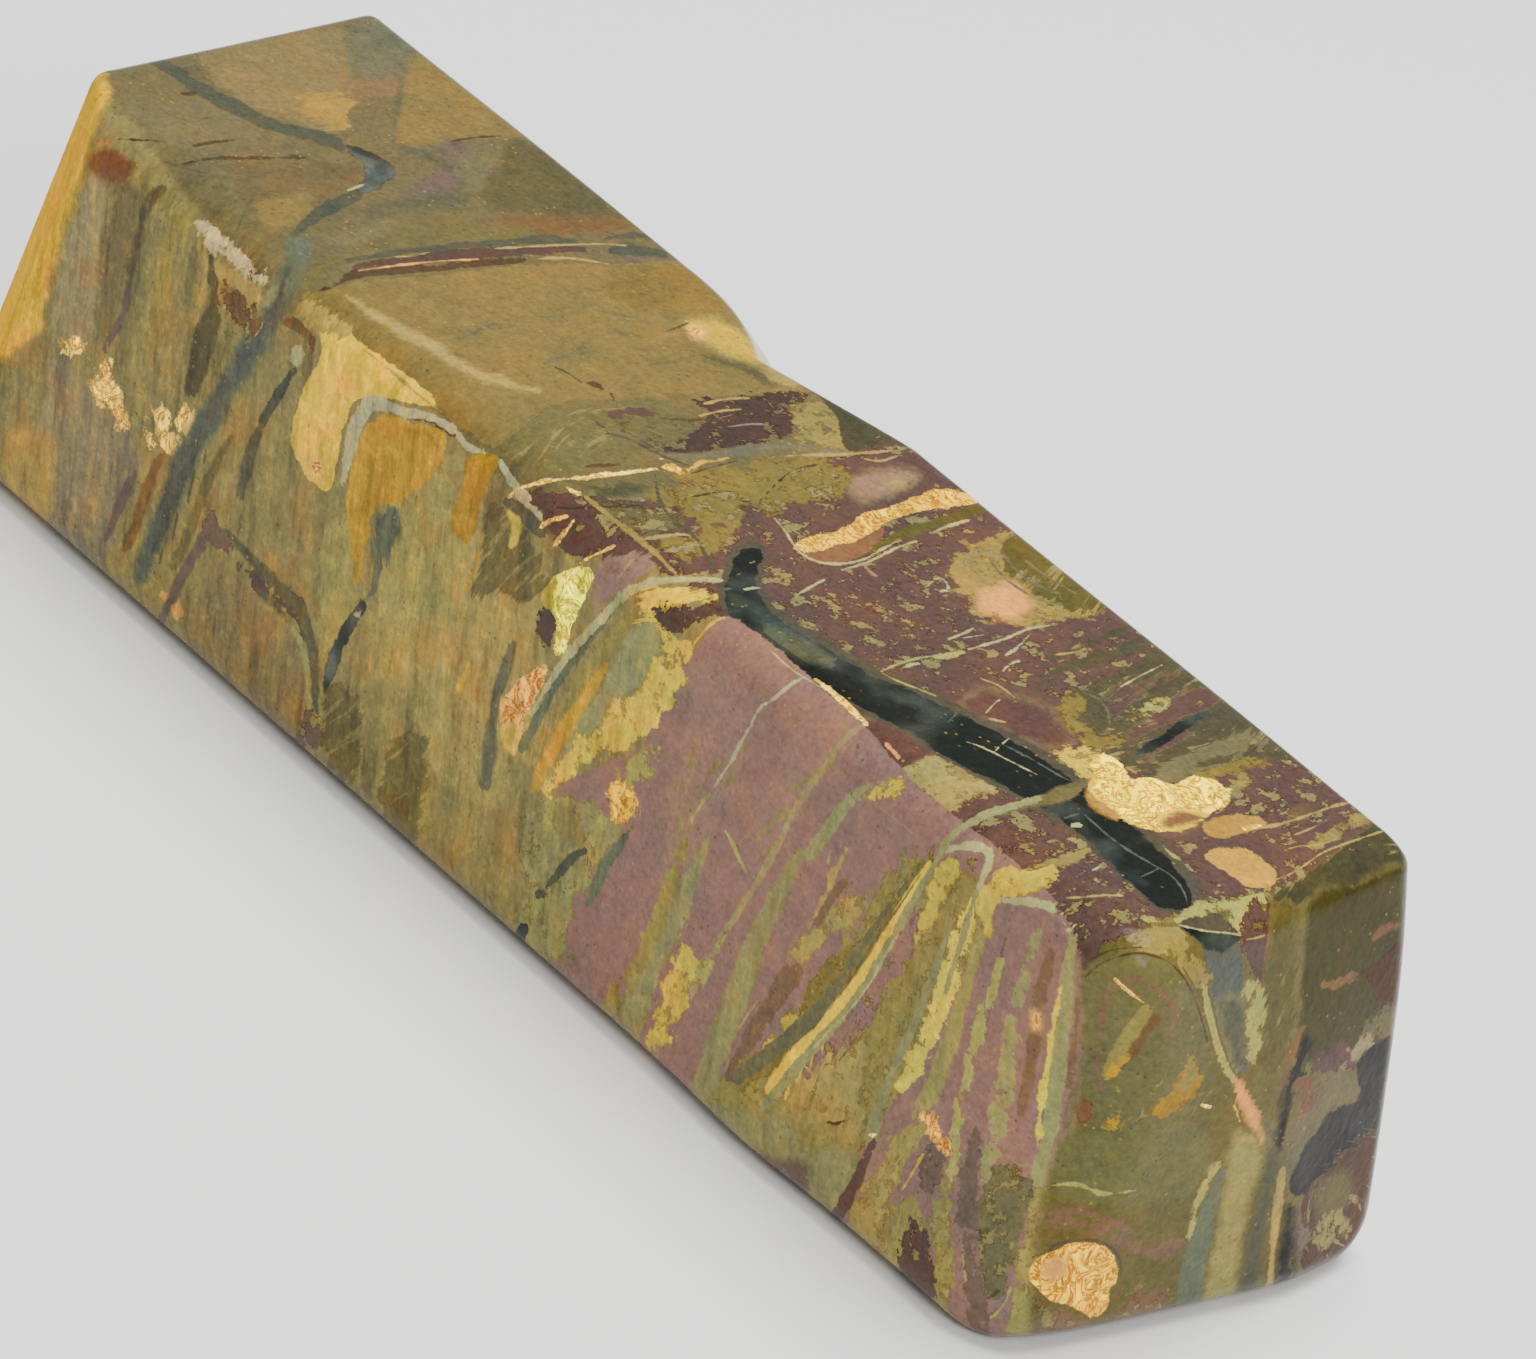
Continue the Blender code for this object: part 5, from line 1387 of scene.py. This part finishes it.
# The polish is glassy, a little duller where the grain is open, with faint wheel marks. The cut-off far
# corner was ground and hardly polished.
POLISHED, OPEN_GRAIN = 0.09, 0.2
CORNER_DULLNESS = 0.8
JASPER_IOR = 1.54
GLOSS = 0.07
WHEEL_MARK_SCALE = 1100
WHEEL_MARK_STRENGTH = 0.15
WHEEL_MARK_DEPTH = 0.00006
far_corner = put(tree, "ShaderNodeAttribute", attribute_name="far_corner").outputs["Fac"]
dullness = ramp(tree, grain, -1, 1, OPEN_GRAIN, POLISHED)
dullness = sum_up(tree, "MULTIPLY_ADD", far_corner, CORNER_DULLNESS, dullness)
tree.links.new(dullness, polish.inputs["Roughness"])
polish.inputs["IOR"].default_value = JASPER_IOR
polish.inputs["Specular IOR Level"].default_value = GLOSS
wheel_marks = noise(WHEEL_MARK_SCALE, 1, place)
bump = put(tree, "ShaderNodeBump", {
    "Strength": WHEEL_MARK_STRENGTH, "Distance": WHEEL_MARK_DEPTH, "Height": wheel_marks,
})
tree.links.new(bump.outputs["Normal"], polish.inputs["Normal"])
mesh.materials.append(jasper)
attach(stone, "root")
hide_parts("jasper_bar")

# The plain pale floor.
# A sheet of white studio paper that the stone lies on.
FLOOR_SIZE = 4.0
PAPER_WHITE = (0.86, 0.86, 0.85, 1)
PAPER_ROUGHNESS = 0.9
floor_mesh = bpy.data.meshes.new("studio_floor")
half = FLOOR_SIZE / 2
corners = [(-half, -half, 0), (half, -half, 0), (half, half, 0), (-half, half, 0)]
floor_mesh.from_pydata(corners, [], [(0, 1, 2, 3)])
floor = bpy.data.objects.new("studio_floor", floor_mesh)
bpy.context.scene.collection.objects.link(floor)
paper = bpy.data.materials.new("studio_paper")
paper.use_nodes = True
paper_shader = paper.node_tree.nodes["Principled BSDF"]
paper_shader.inputs["Base Color"].default_value = PAPER_WHITE
paper_shader.inputs["Roughness"].default_value = PAPER_ROUGHNESS
floor_mesh.materials.append(paper)

# The studio.
# A white room with a wide soft box overhead, a smaller one by the tip, and a long lens on a tripod.
ROOM_LIGHT = 0.55
STONE_MIDDLE = (0, 0, 0.02)
OVERHEAD_PLACE, OVERHEAD_SIZE, OVERHEAD_WATTS = (0.05, 0.10, 0.75), 0.5, 9
TIP_LAMP_PLACE, TIP_LAMP_SIZE, TIP_LAMP_WATTS = (0.55, -0.25, 0.45), 0.25, 3
FILM_WIDTH = 36


def soft_box(name, place, size, power):
    """A square lamp with a white cloth front, aimed at the stone."""
    lamp = bpy.data.lights.new(name, "AREA")
    lamp.shape = "SQUARE"
    lamp.size = size
    lamp.energy = power
    box = bpy.data.objects.new(name, lamp)
    box.location = place
    box.rotation_euler = (Vector(STONE_MIDDLE) - Vector(place)).to_track_quat("-Z", "Y").to_euler()
    bpy.context.scene.collection.objects.link(box)


world = bpy.data.worlds.new("white_room")
world.use_nodes = True
world.node_tree.nodes["Background"].inputs["Color"].default_value = (1, 1, 1, 1)
world.node_tree.nodes["Background"].inputs["Strength"].default_value = ROOM_LIGHT
bpy.context.scene.world = world
soft_box("overhead_box", OVERHEAD_PLACE, OVERHEAD_SIZE, OVERHEAD_WATTS)
soft_box("tip_box", TIP_LAMP_PLACE, TIP_LAMP_SIZE, TIP_LAMP_WATTS)

camera_data = bpy.data.cameras.new("studio_camera")
camera_data.sensor_width = FILM_WIDTH
camera_data.lens = FOCAL_PIXELS * camera_data.sensor_width / PICTURE[0]
camera_data.clip_start, camera_data.clip_end = 0.01, 10
camera = bpy.data.objects.new("studio_camera", camera_data)
turned = Matrix((tuple(right), tuple(-down), tuple(backward))).transposed().to_4x4()
camera.matrix_world = Matrix.Translation(Vector(eye)) @ turned
bpy.context.scene.collection.objects.link(camera)
bpy.context.scene.camera = camera
